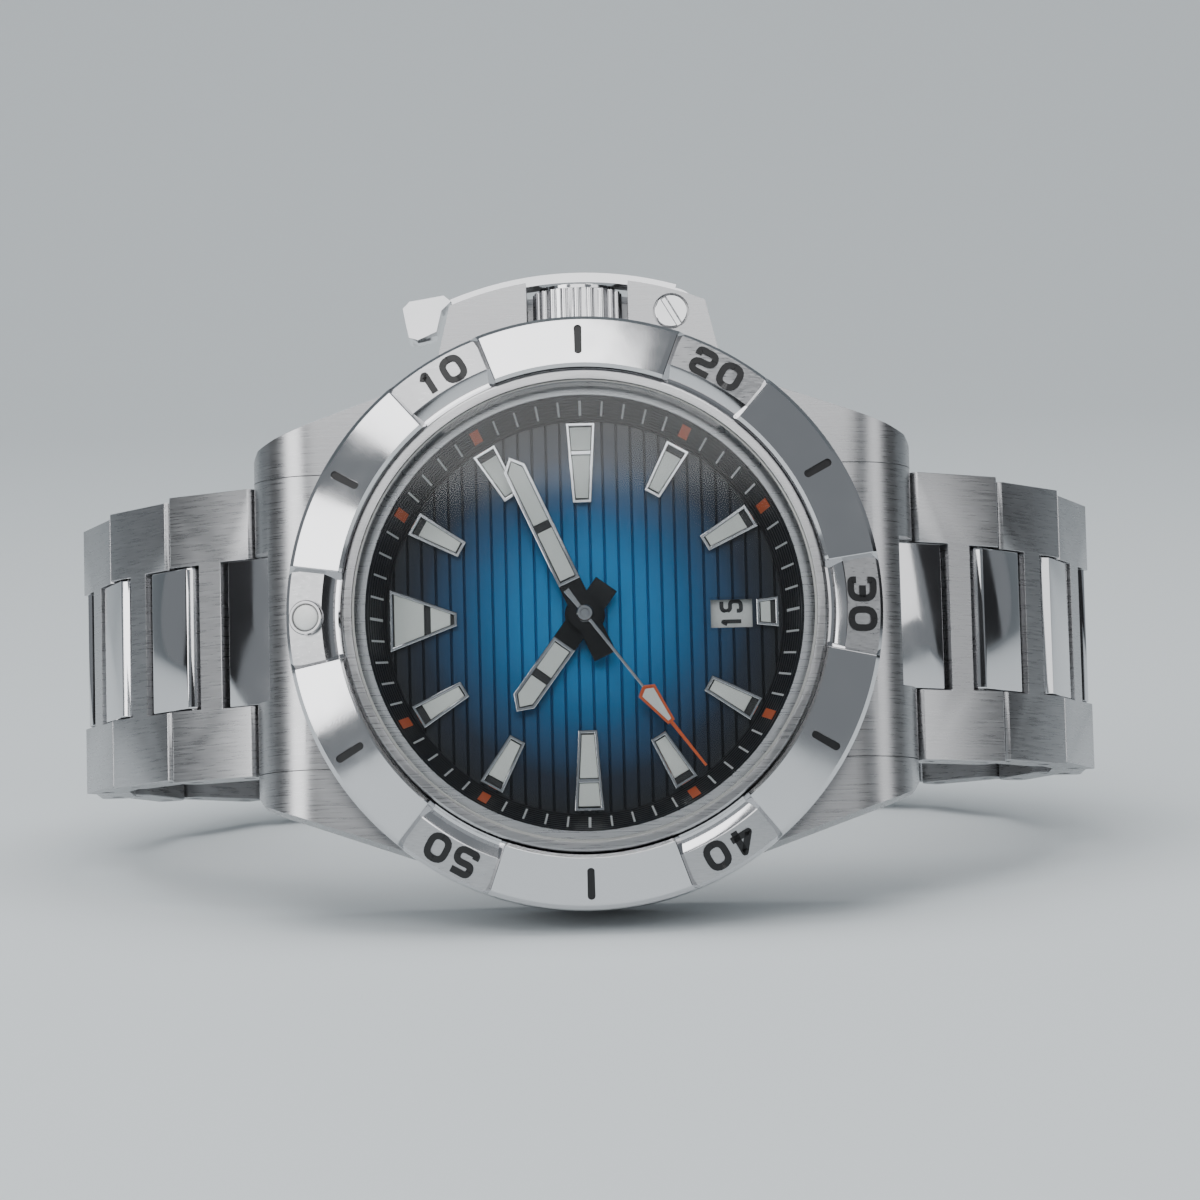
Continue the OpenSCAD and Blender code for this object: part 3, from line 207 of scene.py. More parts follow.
def dial_lacquer():
    mat, shader, tree = new_finish("dial_lacquer", (0, 0.2, 0.45), 0.55, 0.34, Coat_Weight=0.35)
    fade = ramp(tree, distance_from_centre(tree, 16.0),
                (0.0, (0.000, 0.225, 0.500)), (0.30, (0.000, 0.190, 0.440)), (0.55, (0.001, 0.075, 0.190)),
                (0.76, (0.002, 0.012, 0.032)), (0.92, (0.002, 0.003, 0.005)))
    tree.links.new(fade, shader.inputs["Base Color"])
    fleck = noise(tree, watch_millimetres(tree), 26.0, 2.0)
    relief(tree, shader, fleck, 0.004)
    return mat


def plain_finish(name, color, metallic, roughness, grain_scale, depth, swing=0.12, **sockets):
    """A cast, moulded or painted surface: fine grain in its relief, and a slightly uneven tone."""
    mat, shader, tree = new_finish(name, color, metallic, roughness, **sockets)
    grain = noise(tree, watch_millimetres(tree), grain_scale)
    dark, light = ([min(1, part * c) for c in color] for part in (1 - swing, 1 + swing))
    tone = ramp(tree, grain, (0.3, dark), (0.7, light))
    tree.links.new(tone, shader.inputs["Base Color"])
    tree.links.new(spread(tree, grain, 0.85 * roughness, 1.15 * roughness), shader.inputs["Roughness"])
    relief(tree, shader, grain, depth)
    return mat


def ringed_finish(name, color, metallic, roughness, pitch, depth):
    """Turned metal: fine rings about the dial's centre."""
    mat, shader, tree = new_finish(name, color, metallic, roughness)
    rings = tree.nodes.new("ShaderNodeMath")
    rings.operation = "SINE"
    turns = tree.nodes.new("ShaderNodeMath")
    turns.operation = "MULTIPLY"
    turns.inputs[1].default_value = 2 * math.pi / pitch
    tree.links.new(distance_from_centre(tree, 1.0), turns.inputs[0])
    tree.links.new(turns.outputs["Value"], rings.inputs[0])
    relief(tree, shader, rings.outputs["Value"], depth)
    haze = noise(tree, watch_millimetres(tree), 0.8)
    tree.links.new(spread(tree, haze, 0.8 * roughness, 1.2 * roughness), shader.inputs["Roughness"])
    return mat


lacquer = dial_lacquer()
lume = plain_finish("lume_paint", (0.88, 0.90, 0.84), 0.0, 0.55, 9.0, 0.01, 0.03)
orange = plain_finish("orange_lacquer", (0.80, 0.115, 0.012), 0.0, 0.35, 8.0, 0.004, 0.06)
white_print = plain_finish("white_print", (0.88, 0.88, 0.86), 0.0, 0.5, 12.0, 0.003, 0.04)
black_print = plain_finish("black_fill", (0.006, 0.006, 0.007), 0.0, 0.42, 7.0, 0.006, 0.3)
nylon = plain_finish("white_nylon", (0.80, 0.80, 0.77), 0.0, 0.45, 3.0, 0.01, 0.05)
rubber = plain_finish("black_rubber", (0.015, 0.015, 0.016), 0.0, 0.6, 5.0, 0.02, 0.3)
brass = plain_finish("plated_brass", (0.62, 0.45, 0.20), 1.0, 0.28, 4.0, 0.003, 0.08)
blued = plain_finish("blued_spring", (0.03, 0.05, 0.20), 0.9, 0.25, 6.0, 0.002, 0.15)
ring_black = ringed_finish("chapter_ring_black", (0.008, 0.008, 0.009), 0.1, 0.38, 0.16, 0.02)
turned_steel = ringed_finish("circular_grained_steel", (0.55, 0.55, 0.56), 1.0, 0.28, 0.22, 0.004)
print("dial and small finishes:", lacquer.name, lume.name, orange.name, brass.name)


# %% [markdown]
# ## Sapphire
# A flat sapphire with its inner coating is nearly invisible: what is seen through it isn't bent, and
# its faces give a faint mirror image. A clear shader mixed with a sharp gloss by the Fresnel law does
# that and lets the light through to the dial, which solid glass would block.

# %% Finish: sapphire
def sapphire_finish():
    mat = bpy.data.materials.new("sapphire")
    mat.use_nodes = True
    tree = mat.node_tree
    tree.nodes.remove(tree.nodes["Principled BSDF"])
    clear = tree.nodes.new("ShaderNodeBsdfTransparent")
    clear.inputs["Color"].default_value = (0.975, 0.985, 0.99, 1)
    gloss = tree.nodes.new("ShaderNodeBsdfGlossy")
    smear = noise(tree, watch_millimetres(tree), 0.12, 5.0)
    tree.links.new(spread(tree, smear, 0.03, 0.08), gloss.inputs["Roughness"])
    law = tree.nodes.new("ShaderNodeFresnel")
    law.inputs["IOR"].default_value = 1.42
    mix = tree.nodes.new("ShaderNodeMixShader")
    tree.links.new(law.outputs["Fac"], mix.inputs["Fac"])
    tree.links.new(clear.outputs["BSDF"], mix.inputs[1])
    tree.links.new(gloss.outputs["BSDF"], mix.inputs[2])
    tree.links.new(mix.outputs["Shader"], tree.nodes["Material Output"].inputs["Surface"])
    return mat


sapphire = sapphire_finish()
print("clear finish:", sapphire.name)

# %% [markdown]
# ## From a bmesh to a piece
# Every new piece ends the same way: its mesh takes its place in the frame, edges sharper than a limit
# stay sharp while the rest shade smoothly, and it gets its finishes and its body. The object
# itself stays at the origin, as the CAD's objects do. The limit is low, so that a flat face beside a
# narrow bevel shades flat; only the pip's dome, with its few steps, takes a higher one.

# %% Helpers: finishing a piece
SHARP = math.radians(18)
BEVEL_FROM = math.radians(28)
ROUNDED = math.radians(40)


def finish_piece(name, bm, body, slot, *finishes, replaces=(), placed=False, sharp=SHARP):
    if not placed:
        bmesh.ops.transform(bm, matrix=in_place, verts=bm.verts)
    for edge in bm.edges:
        edge.smooth = edge.calc_face_angle(math.pi) < sharp
    for face in bm.faces:
        face.smooth = True
    mesh = bpy.data.meshes.new(name)
    bm.to_mesh(mesh)
    bm.free()
    piece = bpy.data.objects.new(name, mesh)
    bpy.context.scene.collection.objects.link(piece)
    for finish in finishes:
        mesh.materials.append(finish)
    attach(piece, body)
    if replaces:
        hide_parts(*replaces)
    return piece


def corners(geom):
    """The vertices among an operator's results."""
    return [g for g in geom if isinstance(g, bmesh.types.BMVert)]


def outline(bm, points, z):
    """One flat face from an outline in x and y."""
    return bm.faces.new([bm.verts.new((x, y, z)) for x, y in points])


def prism(points, z0, z1, bevel=0.0):
    """A block with that outline, from z0 to z1, with its top edges bevelled."""
    bm = bmesh.new()
    base = outline(bm, points, z0)
    top = bmesh.ops.extrude_face_region(bm, geom=[base], use_keep_orig=True)["geom"]
    bmesh.ops.translate(bm, verts=corners(top), vec=(0, 0, z1 - z0))
    bmesh.ops.recalc_face_normals(bm, faces=bm.faces)
    if bevel:
        rim = [e for e in bm.edges if all(v.co.z > (z0 + z1) / 2 for v in e.verts)]
        bmesh.ops.bevel(bm, geom=rim, offset=bevel, affect="EDGES", segments=2, profile=0.5, material=-1)
    return bm


def join(bm, other, matrix=None):
    """Adds a second bmesh to the first."""
    if matrix is not None:
        bmesh.ops.transform(other, matrix=matrix, verts=other.verts)
    mesh = bpy.data.meshes.new("joined")
    other.to_mesh(mesh)
    other.free()
    bm.from_mesh(mesh)
    bpy.data.meshes.remove(mesh)


def lathe(profile, start=0.0, sweep=360.0, steps=180):
    """A profile of (radius, z) points turned about the dial's axis, and capped if it isn't a full turn."""
    bm = bmesh.new()
    verts = [bm.verts.new((r * math.cos(math.radians(start)), r * math.sin(math.radians(start)), z))
             for r, z in profile]
    full = sweep == 360.0
    face = bm.faces.new(verts)
    geom = list(face.edges) + verts if full else [face] + list(face.edges) + verts
    if full:
        bmesh.ops.delete(bm, geom=[face], context="FACES_ONLY")
        bmesh.ops.spin(bm, geom=[g for g in geom if g.is_valid], cent=(0, 0, 0), axis=(0, 0, 1),
                       angle=math.radians(sweep), steps=steps, use_merge=True)
    else:
        bmesh.ops.spin(bm, geom=geom, cent=(0, 0, 0), axis=(0, 0, 1), angle=math.radians(sweep), steps=steps)
    bmesh.ops.remove_doubles(bm, verts=bm.verts, dist=1e-4)
    bmesh.ops.recalc_face_normals(bm, faces=bm.faces)
    return bm


def clock(angle):
    """A turn clockwise from twelve."""
    return Matrix.Rotation(-math.radians(angle), 4, "Z")


# %% [markdown]
# ## Crisp steel from the CAD
# The case, the guard, the links and the clasp already have the right shape. What a machined part has
# and a CAD solid lacks is the tiny rounding along each edge that catches a line of light. So a copy of
# the CAD mesh is merged, its flat faces are dissolved back to single faces, and a narrow bevel runs
# along every sharp edge.

# %% Helper: refine a CAD node
def cad_copy(node):
    bm = bmesh.new()
    bm.from_mesh(nodes[node].data)
    bmesh.ops.remove_doubles(bm, verts=bm.verts, dist=2e-6)
    return bm


def islands(bm):
    """The bmesh's separate solids, as lists of faces."""
    left = set(bm.faces)
    found = []
    while left:
        seed = left.pop()
        group, queue = [seed], [seed]
        while queue:
            for edge in queue.pop().edges:
                for face in edge.link_faces:
                    if face in left:
                        left.remove(face)
                        group.append(face)
                        queue.append(face)
        found.append(group)
    return found


def only(bm, keep):
    """Leaves only these faces."""
    chosen = set(keep)
    bmesh.ops.delete(bm, geom=[f for f in bm.faces if f not in chosen], context="FACES")
    return bm


def crisp(bm, width):
    """Dissolves flat faces and bevels the sharp edges by that many metres."""
    bmesh.ops.dissolve_limit(bm, angle_limit=math.radians(0.4), verts=bm.verts, edges=bm.edges)
    sharp = [e for e in bm.edges if len(e.link_faces) == 2 and e.calc_face_angle(0) > BEVEL_FROM]
    if width:
        bmesh.ops.bevel(bm, geom=sharp, offset=width, affect="EDGES", segments=2, profile=0.5, material=-1,
                        clamp_overlap=True)
    return bm


def refine(node, body, slot, finish, width=0.06 * MM):
    """A crisp copy of a CAD node that stands for it."""
    return finish_piece(node + "_steel", crisp(cad_copy(node), width), body, slot, finish,
                        replaces=(node,), placed=True)


body_of = {n: b for b, ns in frame["record"]["behaviour"]["bodies"].items() for n in ns}

# %% [markdown]
# ## Case, lugs, end links and back
# These are brushed steel, with the grain along the bracelet, from lug to lug. The back is turned
# instead, so its grain runs round the dial's axis.

# %% Case pieces
for node, finish in (("mid_case", brushed), ("end_link_12", brushed), ("end_link_6", brushed),
                     ("crown_guard", brushed_guard), ("case_back", turned_steel)):
    made = refine(node, body_of[node], "steel_brushed", finish, 0.05 * MM)
    print(made.name, len(made.data.polygons), "faces")

# %% [markdown]
# ## Bracelet
# Each link is an H-shaped brushed outer piece with a polished centre piece and its pins. They are
# separate solids inside the CAD node, so the node is taken apart: the solid with the largest surface
# is the outer piece, the next is the centre, and the thin ones are pins.

# %% Links
def link_pieces(node):
    """Makes the outer piece, the centre piece and the pins of one link."""
    whole = cad_copy(node)
    order = sorted(islands(whole), key=lambda g: -sum(f.calc_area() for f in g))
    solids = [[f.index for f in g] for g in order]
    whole.free()
    parts = [("outer", brushed, "steel_brushed", 0.14 * MM), ("centre", polished, "steel_polished", 0.16 * MM)]
    for rank, (word, finish, slot, width) in enumerate(parts):
        bm = cad_copy(node)
        bm.faces.ensure_lookup_table()
        only(bm, [bm.faces[i] for i in solids[rank]])
        finish_piece(f"{node}_{word}", crisp(bm, width), body_of[node], slot, finish, placed=True,
                     replaces=(node,) if rank == 0 else ())
    if len(solids) > 2:
        bm = cad_copy(node)
        bm.faces.ensure_lookup_table()
        only(bm, [bm.faces[i] for g in solids[2:] for i in g])
        finish_piece(f"{node}_pins", crisp(bm, 0), body_of[node], "steel_polished", polished, placed=True)


for side in (12, 6):
    for k in range(1, 8):
        link_pieces(f"link_{side}_{k}")

# %% [markdown]
# ## Clasp
# The cover and flap are brushed outside, and the folding blades inside are plainer steel.

# %% Clasp
for node, finish in (("clasp_cover", brushed), ("clasp_outer_blade", brushed_blade),
                     ("clasp_inner_blade", brushed_blade), ("safety_flap", brushed)):
    made = refine(node, body_of[node], "steel_brushed", finish, 0.05 * MM)
    print(made.name, len(made.data.polygons), "faces")

# %% [markdown]
# ## Bezel
# The bezel is a turned ring with six raised segments. The ring is a profile spun a full turn, and each
# segment a profile spun through 40 degrees, whose end walls then lean outwards at the foot and take a
# rounding. The minute stroke is a real slot: a bar with rounded ends is cut out with a boolean. The
# number plates between the segments are brushed and the rest is polished.

# %% Bezel sizes
BEZEL_R, BEZEL_BORE = 22.0, 17.95
BEZEL_LOW, BEZEL_TOP, BEZEL_FALL, PLATE_DROP = 1.35, 5.45, 1.15, 0.65
SEGMENT = 40.0
EDGE_Z = BEZEL_TOP - BEZEL_FALL
SLOPE = BEZEL_FALL / (BEZEL_R - BEZEL_BORE)


def segment_top(r):
    """Height of a raised segment at a radius."""
    return BEZEL_TOP - (r - BEZEL_BORE) * SLOPE


def plate_top(r):
    """Height of a number plate at a radius."""
    return segment_top(r) - PLATE_DROP


# %% Bezel
def bezel_segment():
    """One raised segment about the x direction, with leaning ends and rounded edges."""
    foot = segment_top(20) - PLATE_DROP - 0.5
    profile = [(18.02, foot), (BEZEL_R - 0.03, EDGE_Z - PLATE_DROP - 0.4), (BEZEL_R - 0.03, EDGE_Z - 0.32),
               (BEZEL_R - 0.30, EDGE_Z - 0.02), (18.30, segment_top(18.3)), (18.02, segment_top(18.0) - 0.28)]
    bm = lathe(profile, -SEGMENT / 2, SEGMENT, 28)
    lean = math.radians(1.9)
    for vert in bm.verts:
        angle = math.atan2(vert.co.y, vert.co.x)
        low = vert.co.z < segment_top(math.hypot(vert.co.x, vert.co.y)) - 0.33
        if low and abs(abs(angle) - math.radians(SEGMENT / 2)) < 1e-3:
            vert.co.rotate(Matrix.Rotation(math.copysign(lean, angle), 3, "Z"))
    ends = [e for e in bm.edges
            if all(abs(abs(math.degrees(math.atan2(v.co.y, v.co.x))) - SEGMENT / 2) < 0.01 for v in e.verts)
            and all(v.co.z > segment_top(math.hypot(v.co.x, v.co.y)) - 0.34 for v in e.verts)]
    bmesh.ops.bevel(bm, geom=ends, offset=0.14, affect="EDGES", segments=3, profile=0.5, material=-1)
    return bm


def stroke_cutter():
    """A bar with rounded ends, square to the segment's sloping top."""
    bm = bmesh.new()
    bmesh.ops.create_circle(bm, cap_ends=True, radius=0.30, segments=24)
    half = 0.9
    for vert in bm.verts:
        vert.co.x += math.copysign(half, vert.co.x + 1e-9)
    top = bmesh.ops.extrude_face_region(bm, geom=list(bm.faces), use_keep_orig=True)["geom"]
    bmesh.ops.translate(bm, verts=corners(top), vec=(0, 0, 1.4))
    bmesh.ops.recalc_face_normals(bm, faces=bm.faces)
    tilt = Matrix.Rotation(math.atan(SLOPE), 4, "Y")
    place = Matrix.Translation((20.15, 0, segment_top(20.15))) @ tilt @ Matrix.Translation((0, 0, -0.32))
    bmesh.ops.transform(bm, matrix=place, verts=bm.verts)
    return bm


def carve(block, tool):
    """The block with the tool cut out of it."""
    made = []
    for word, bm in (("block", block), ("tool", tool)):
        mesh = bpy.data.meshes.new(word)
        bm.to_mesh(mesh)
        bm.free()
        thing = bpy.data.objects.new(word, mesh)
        bpy.context.scene.collection.objects.link(thing)
        made.append(thing)
    cut = made[0].modifiers.new("slot", "BOOLEAN")
    cut.operation = "DIFFERENCE"
    cut.object = made[1]
    cut.solver = "EXACT"
    seen = made[0].evaluated_get(bpy.context.evaluated_depsgraph_get())
    out = bmesh.new()
    out.from_mesh(seen.to_mesh())
    seen.to_mesh_clear()
    for thing in made:
        bpy.data.objects.remove(thing)
    return out


bezel_bm = lathe([(BEZEL_BORE, BEZEL_LOW), (BEZEL_R - 0.3, BEZEL_LOW), (BEZEL_R, BEZEL_LOW + 0.3),
                  (BEZEL_R, EDGE_Z - PLATE_DROP - 0.25), (BEZEL_R - 0.22, EDGE_Z - PLATE_DROP),
                  (19.35, plate_top(19.35)), (19.15, plate_top(19.15) - 0.10), (18.35, plate_top(18.35) - 0.62),
                  (18.15, plate_top(18.15) - 0.62), (BEZEL_BORE, plate_top(BEZEL_BORE) - 0.5)], steps=240)
for face in bezel_bm.faces:
    middle = face.calc_center_median()
    if middle.z > plate_top(BEZEL_R) - 0.1 and math.hypot(middle.x, middle.y) > 19.3:
        face.material_index = 1
one = carve(bezel_segment(), stroke_cutter())
segment_mesh = bpy.data.meshes.new("segment")
one.to_mesh(segment_mesh)
one.free()
for i in range(6):
    copy = bmesh.new()
    copy.from_mesh(segment_mesh)
    join(bezel_bm, copy, Matrix.Rotation(math.radians(60 * i), 4, "Z"))
bpy.data.meshes.remove(segment_mesh)
bezel = finish_piece("bezel_steel", bezel_bm, "bezel", "steel_polished", polished, brushed_plate,
                     replaces=("bezel",))
print("bezel:", len(bezel.data.polygons), "faces")

# %% [markdown]
# The slots are filled with black lacquer, which sits a little below the edge.

# %% Bezel strokes
strokes = bmesh.new()
for i in range(6):
    fill = bmesh.new()
    bmesh.ops.create_circle(fill, cap_ends=True, radius=0.285, segments=20)
    for vert in fill.verts:
        vert.co.x += math.copysign(0.9, vert.co.x + 1e-9)
    top = bmesh.ops.extrude_face_region(fill, geom=list(fill.faces), use_keep_orig=True)["geom"]
    bmesh.ops.translate(fill, verts=corners(top), vec=(0, 0, 0.12))
    bmesh.ops.recalc_face_normals(fill, faces=fill.faces)
    place = Matrix.Translation((20.15, 0, segment_top(20.15))) @ Matrix.Rotation(math.atan(SLOPE), 4, "Y")
    sunk = place @ Matrix.Translation((0, 0, -0.31))
    join(strokes, fill, Matrix.Rotation(math.radians(60 * i), 4, "Z") @ sunk)
finish_piece("bezel_strokes", strokes, "bezel", "black_ring", black_print)


# %% [markdown]
# ## Numbers
# The bezel's numbers are a wide, square-shouldered engraved face. Each figure is a stroke of even
# width along a short path whose corners are rounded, so the figures are paths, and one function turns
# a path into a flat band with its own thickness.

# %% Figures
def round_corners(path, radius, closed=False, steps=5):
    """The path with an arc of that radius at each corner."""
    points = [Vector(p) for p in path]
    count = len(points)
    out = []
    for i, here in enumerate(points):
        if not closed and i in (0, count - 1):
            out.append(here)
            continue
        before, after = points[i - 1], points[(i + 1) % count]
        to_a, to_b = (before - here), (after - here)
        reach = min(radius, 0.5 * to_a.length, 0.5 * to_b.length)
        a, b = here + to_a.normalized() * reach, here + to_b.normalized() * reach
        for k in range(steps + 1):
            t = k / steps
            out.append((1 - t) ** 2 * a + 2 * t * (1 - t) * here + t * t * b)
    return out


def band(path, width, closed=False):
    """A flat band of that width along a path, as a bmesh at height 0."""
    bm = bmesh.new()
    rows = []
    count = len(path)
    for i, here in enumerate(path):
        before = path[i - 1] if closed or i else here
        after = path[(i + 1) % count] if closed or i < count - 1 else here
        along = (here - before).normalized() + (after - here).normalized()
        along.normalize()
        side = Vector((-along.y, along.x))
        leg = (after - here).normalized() if after != here else (here - before).normalized()
        square = max(0.4, abs(Vector((-leg.y, leg.x)).dot(side)))
        reach = side * (width / 2 / square)
        rows.append([bm.verts.new((*(here + reach), 0)), bm.verts.new((*(here - reach), 0))])
    pairs = list(zip(rows, rows[1:])) + ([(rows[-1], rows[0])] if closed else [])
    for one_row, next_row in pairs:
        bm.faces.new((one_row[0], one_row[1], next_row[1], next_row[0]))
    return bm


FIGURES = {
    "0": [([(0, 0), (1, 0), (1, 1), (0, 1)], True)],
    "1": [([(0.35, 0.72), (0.62, 1), (0.62, 0)], False)],
    "2": [([(0, 0.74), (0, 1), (1, 1), (1, 0.50), (0, 0.46), (0, 0), (1.04, 0)], False)],
    "3": [([(0, 0.76), (0, 1), (1, 1), (1, 0), (0, 0), (0, 0.24)], False),
          ([(0.30, 0.52), (0.96, 0.52)], False)],
    "4": [([(0.74, 0), (0.74, 1), (0, 0.30), (1.08, 0.30)], False)],
    "5": [([(0.98, 1), (0, 1), (0, 0.54), (1, 0.58), (1, 0), (0, 0), (0, 0.22)], False)],
}


def figures(text, height, wide, stroke, gap, thick):
    """Figures side by side, centred, reading along x, as one bmesh with a thickness."""
    total = len(text) * wide + (len(text) - 1) * gap
    bm = bmesh.new()
    for i, letter in enumerate(text):
        left = -total / 2 + i * (wide + gap) + stroke / 2
        low = -height / 2 + stroke / 2
        radius = 0.05 if letter == "4" else 0.42 * wide
        for path, closed in FIGURES[letter]:
            placed = [(left + x * (wide - stroke), low + y * (height - stroke)) for x, y in path]
            join(bm, band(round_corners(placed, radius, closed), stroke, closed))
    top = bmesh.ops.extrude_face_region(bm, geom=list(bm.faces), use_keep_orig=True)["geom"]
    bmesh.ops.translate(bm, verts=corners(top), vec=(0, 0, thick))
    bmesh.ops.recalc_face_normals(bm, faces=bm.faces)
    return bm


PLATE_MID = 20.45


def on_plate(sink):
    """Lays a piece on the sloping plate at twelve, sunk a little."""
    foot = Matrix.Translation((0, PLATE_MID, plate_top(PLATE_MID)))
    return foot @ Matrix.Rotation(-math.atan(SLOPE), 4, "X") @ Matrix.Translation((0, 0, -sink))


numbers = bmesh.new()
for i, text in enumerate(("10", "20", "30", "40", "50")):
    word = figures(text, 2.25, 1.85, 0.50, 0.34, 0.10)
    join(numbers, word, clock(60 * (i + 1)) @ on_plate(0.06))
finish_piece("bezel_numbers", numbers, "bezel", "black_ring", black_print)
print("bezel numbers are set")

# %% [markdown]
# The pip at twelve is a dome of luminous paint in a small polished cup, whose steel is painted darker than the
# bezel's: painted shade, so that it reads as a ring.

# %% Bezel pip
pip = lathe([(0.001, 0.0), (0.98, 0.0), (0.98, 0.34), (0.90, 0.50), (0.72, 0.64), (0.45, 0.74), (0.001, 0.78)],
            steps=40)
bmesh.ops.transform(pip, matrix=on_plate(0.16), verts=pip.verts)
finish_piece("bezel_pip", pip, "bezel", "lume", white_print, replaces=("bezel_pearl",), sharp=ROUNDED)
cup = lathe([(0.98, 0.0), (1.30, 0.0), (1.30, 0.42), (1.22, 0.52), (1.06, 0.52), (0.98, 0.44)], steps=48)
bmesh.ops.transform(cup, matrix=on_plate(0.16), verts=cup.verts)
finish_piece("bezel_pip_cup", cup, "bezel", "steel_polished", cup_steel_painted_shade)

# %% [markdown]
# ## Dial
# The grooves run from nine to three. They are real: the dial's face is bisected along each groove's
# two shoulders and its middle, and the middle line is let down into a V.

# %% Dial
DIAL_R, GROOVE_PITCH, GROOVE_W, GROOVE_DEEP = 15.9, 1.05, 0.22, 0.10
DATE_IN, DATE_L, DATE_W = 9.35, 3.1, 2.1
dial = bmesh.new()
bmesh.ops.create_circle(dial, cap_ends=True, radius=DIAL_R, segments=180)
lines = [GROOVE_PITCH * (k + 0.5) for k in range(-15, 15)]
hole_edges = (-DATE_IN - DATE_L, -DATE_IN)


def cut_line(bm, point, normal):
    whole = list(bm.verts) + list(bm.edges) + list(bm.faces)
    bmesh.ops.bisect_plane(bm, geom=whole, plane_co=point, plane_no=normal)


for y in lines:
    for offset in (-GROOVE_W / 2, 0, GROOVE_W / 2):
        cut_line(dial, (0, y + offset, 0), (0, 1, 0))
for y in hole_edges:
    cut_line(dial, (0, y, 0), (0, 1, 0))
for x in (-DATE_W / 2, DATE_W / 2):
    cut_line(dial, (x, 0, 0), (1, 0, 0))
window = [f for f in dial.faces if abs(f.calc_center_median().x) < DATE_W / 2
          and hole_edges[0] < f.calc_center_median().y < hole_edges[1]]
bmesh.ops.delete(dial, geom=window, context="FACES")
for vert in dial.verts:
    if min(abs(vert.co.y - y) for y in lines) < 1e-4:
        vert.co.z -= GROOVE_DEEP
bmesh.ops.recalc_face_normals(dial, faces=dial.faces)
if sum(f.normal.z for f in dial.faces) < 0:
    bmesh.ops.reverse_faces(dial, faces=dial.faces)
skirt = bmesh.ops.extrude_edge_only(dial, edges=[e for e in dial.edges if e.is_boundary])["geom"]
for vert in corners(skirt):
    vert.co.z = -0.38
bmesh.ops.recalc_face_normals(dial, faces=dial.faces)
dial_piece = finish_piece("dial_plate", dial, "case", "dial_blue", lacquer, replaces=("dial",))
print("dial:", len(dial_piece.data.polygons), "faces,", len(lines), "grooves")

# %% [markdown]
# ## Chapter ring and minute track
# A black ring with fine turned steps rises from the dial to the crystal. The white strokes and the
# orange squares are printed on its slope, so they are thin tiles that lie along it.

# %% Chapter ring
RING_IN, RING_OUT, RING_LOW, RING_HIGH = 14.7, 16.12, 0.34, 3.02
rise = (RING_HIGH - RING_LOW) / (RING_OUT - RING_IN)
steps_up = 9
profile = [(RING_IN, 0.03)]
for k in range(steps_up):
    r0 = RING_IN + (RING_OUT - RING_IN) * k / steps_up
    r1 = RING_IN + (RING_OUT - RING_IN) * (k + 1) / steps_up
    z0, z1 = RING_LOW + (r0 - RING_IN) * rise, RING_LOW + (r1 - RING_IN) * rise
    profile += [(r0, z0), (r0 + 0.72 * (r1 - r0), z0 + 0.60 * (z1 - z0))]
profile += [(RING_OUT, RING_HIGH), (16.38, RING_HIGH), (16.38, 0.03)]
finish_piece("chapter_ring_turned", lathe(profile, steps=180), "case", "black_ring", ring_black,
             replaces=("chapter_ring",))


def tile(angle, r0, r1, width, lift=0.05):
    """A thin printed tile on the ring's slope, r0 to r1 from the centre."""
    bm = bmesh.new()
    bmesh.ops.create_cube(bm, size=1)
    length = (r1 - r0) * math.hypot(1, rise)
    bmesh.ops.scale(bm, vec=(width, length, 0.04), verts=bm.verts)
    mid = (r0 + r1) / 2
    lay = clock(angle) @ Matrix.Translation((0, mid, RING_LOW + (mid - RING_IN) * rise + lift))
    bmesh.ops.transform(bm, matrix=lay @ Matrix.Rotation(math.atan(rise), 4, "X"), verts=bm.verts)
    return bm


ORANGE_MINUTES = (5, 10, 20, 25, 35, 40, 50, 55)
track, squares = bmesh.new(), bmesh.new()
for minute in range(60):
    if minute in ORANGE_MINUTES:
        join(squares, tile(6 * minute, 15.10, 15.85, 0.72, 0.09))
    else:
        join(track, tile(6 * minute, 15.0, 15.85, 0.20 if minute % 5 == 0 else 0.15))
finish_piece("minute_track", track, "case", "lume", white_print)
finish_piece("minute_squares", squares, "case", "orange", orange)

# %% [markdown]
# ## Hour markers
# Each marker is a polished steel frame with a bevelled rim, a black floor and a pad of luminous paint.
# The frame starts as one outline: an inset makes the rim, the rim is raised, and its edges get a bevel.

# %% Helper: a framed marker
def framed(points, floor_z, top_z, rim, base_z=0.02, bevel=0.05):
    """A frame with a sunk black floor: material 0 is the frame and 1 the floor."""
    bm = bmesh.new()
    base = outline(bm, points, base_z)
    body = bmesh.ops.extrude_face_region(bm, geom=[base], use_keep_orig=True)["geom"]
    bmesh.ops.translate(bm, verts=corners(body), vec=(0, 0, floor_z - base_z))
    top = next(g for g in body
               if isinstance(g, bmesh.types.BMFace) and abs(g.calc_center_median().z - floor_z) < 1e-5)
    edge_faces = bmesh.ops.inset_region(bm, faces=[top], thickness=rim, use_even_offset=True)["faces"]
    top.material_index = 1
    lifted = bmesh.ops.extrude_face_region(bm, geom=edge_faces)["geom"]
    bmesh.ops.translate(bm, verts=corners(lifted), vec=(0, 0, top_z - floor_z))
    bmesh.ops.remove_doubles(bm, verts=bm.verts, dist=1e-5)
    bmesh.ops.recalc_face_normals(bm, faces=bm.faces)
    edges = [e for e in bm.edges if all(v.co.z > top_z - 1e-4 for v in e.verts)
             and len(e.link_faces) == 2 and e.calc_face_angle(0) > 0.5]
    bmesh.ops.bevel(bm, geom=edges, offset=bevel, affect="EDGES", segments=2, profile=0.5, material=-1)
    return bm


def trapezium(y0, y1, w0, w1):
    """An outline w0 wide at y0 and w1 wide at y1."""
    return [(-w0 / 2, y0), (w0 / 2, y0), (w1 / 2, y1), (-w1 / 2, y1)]


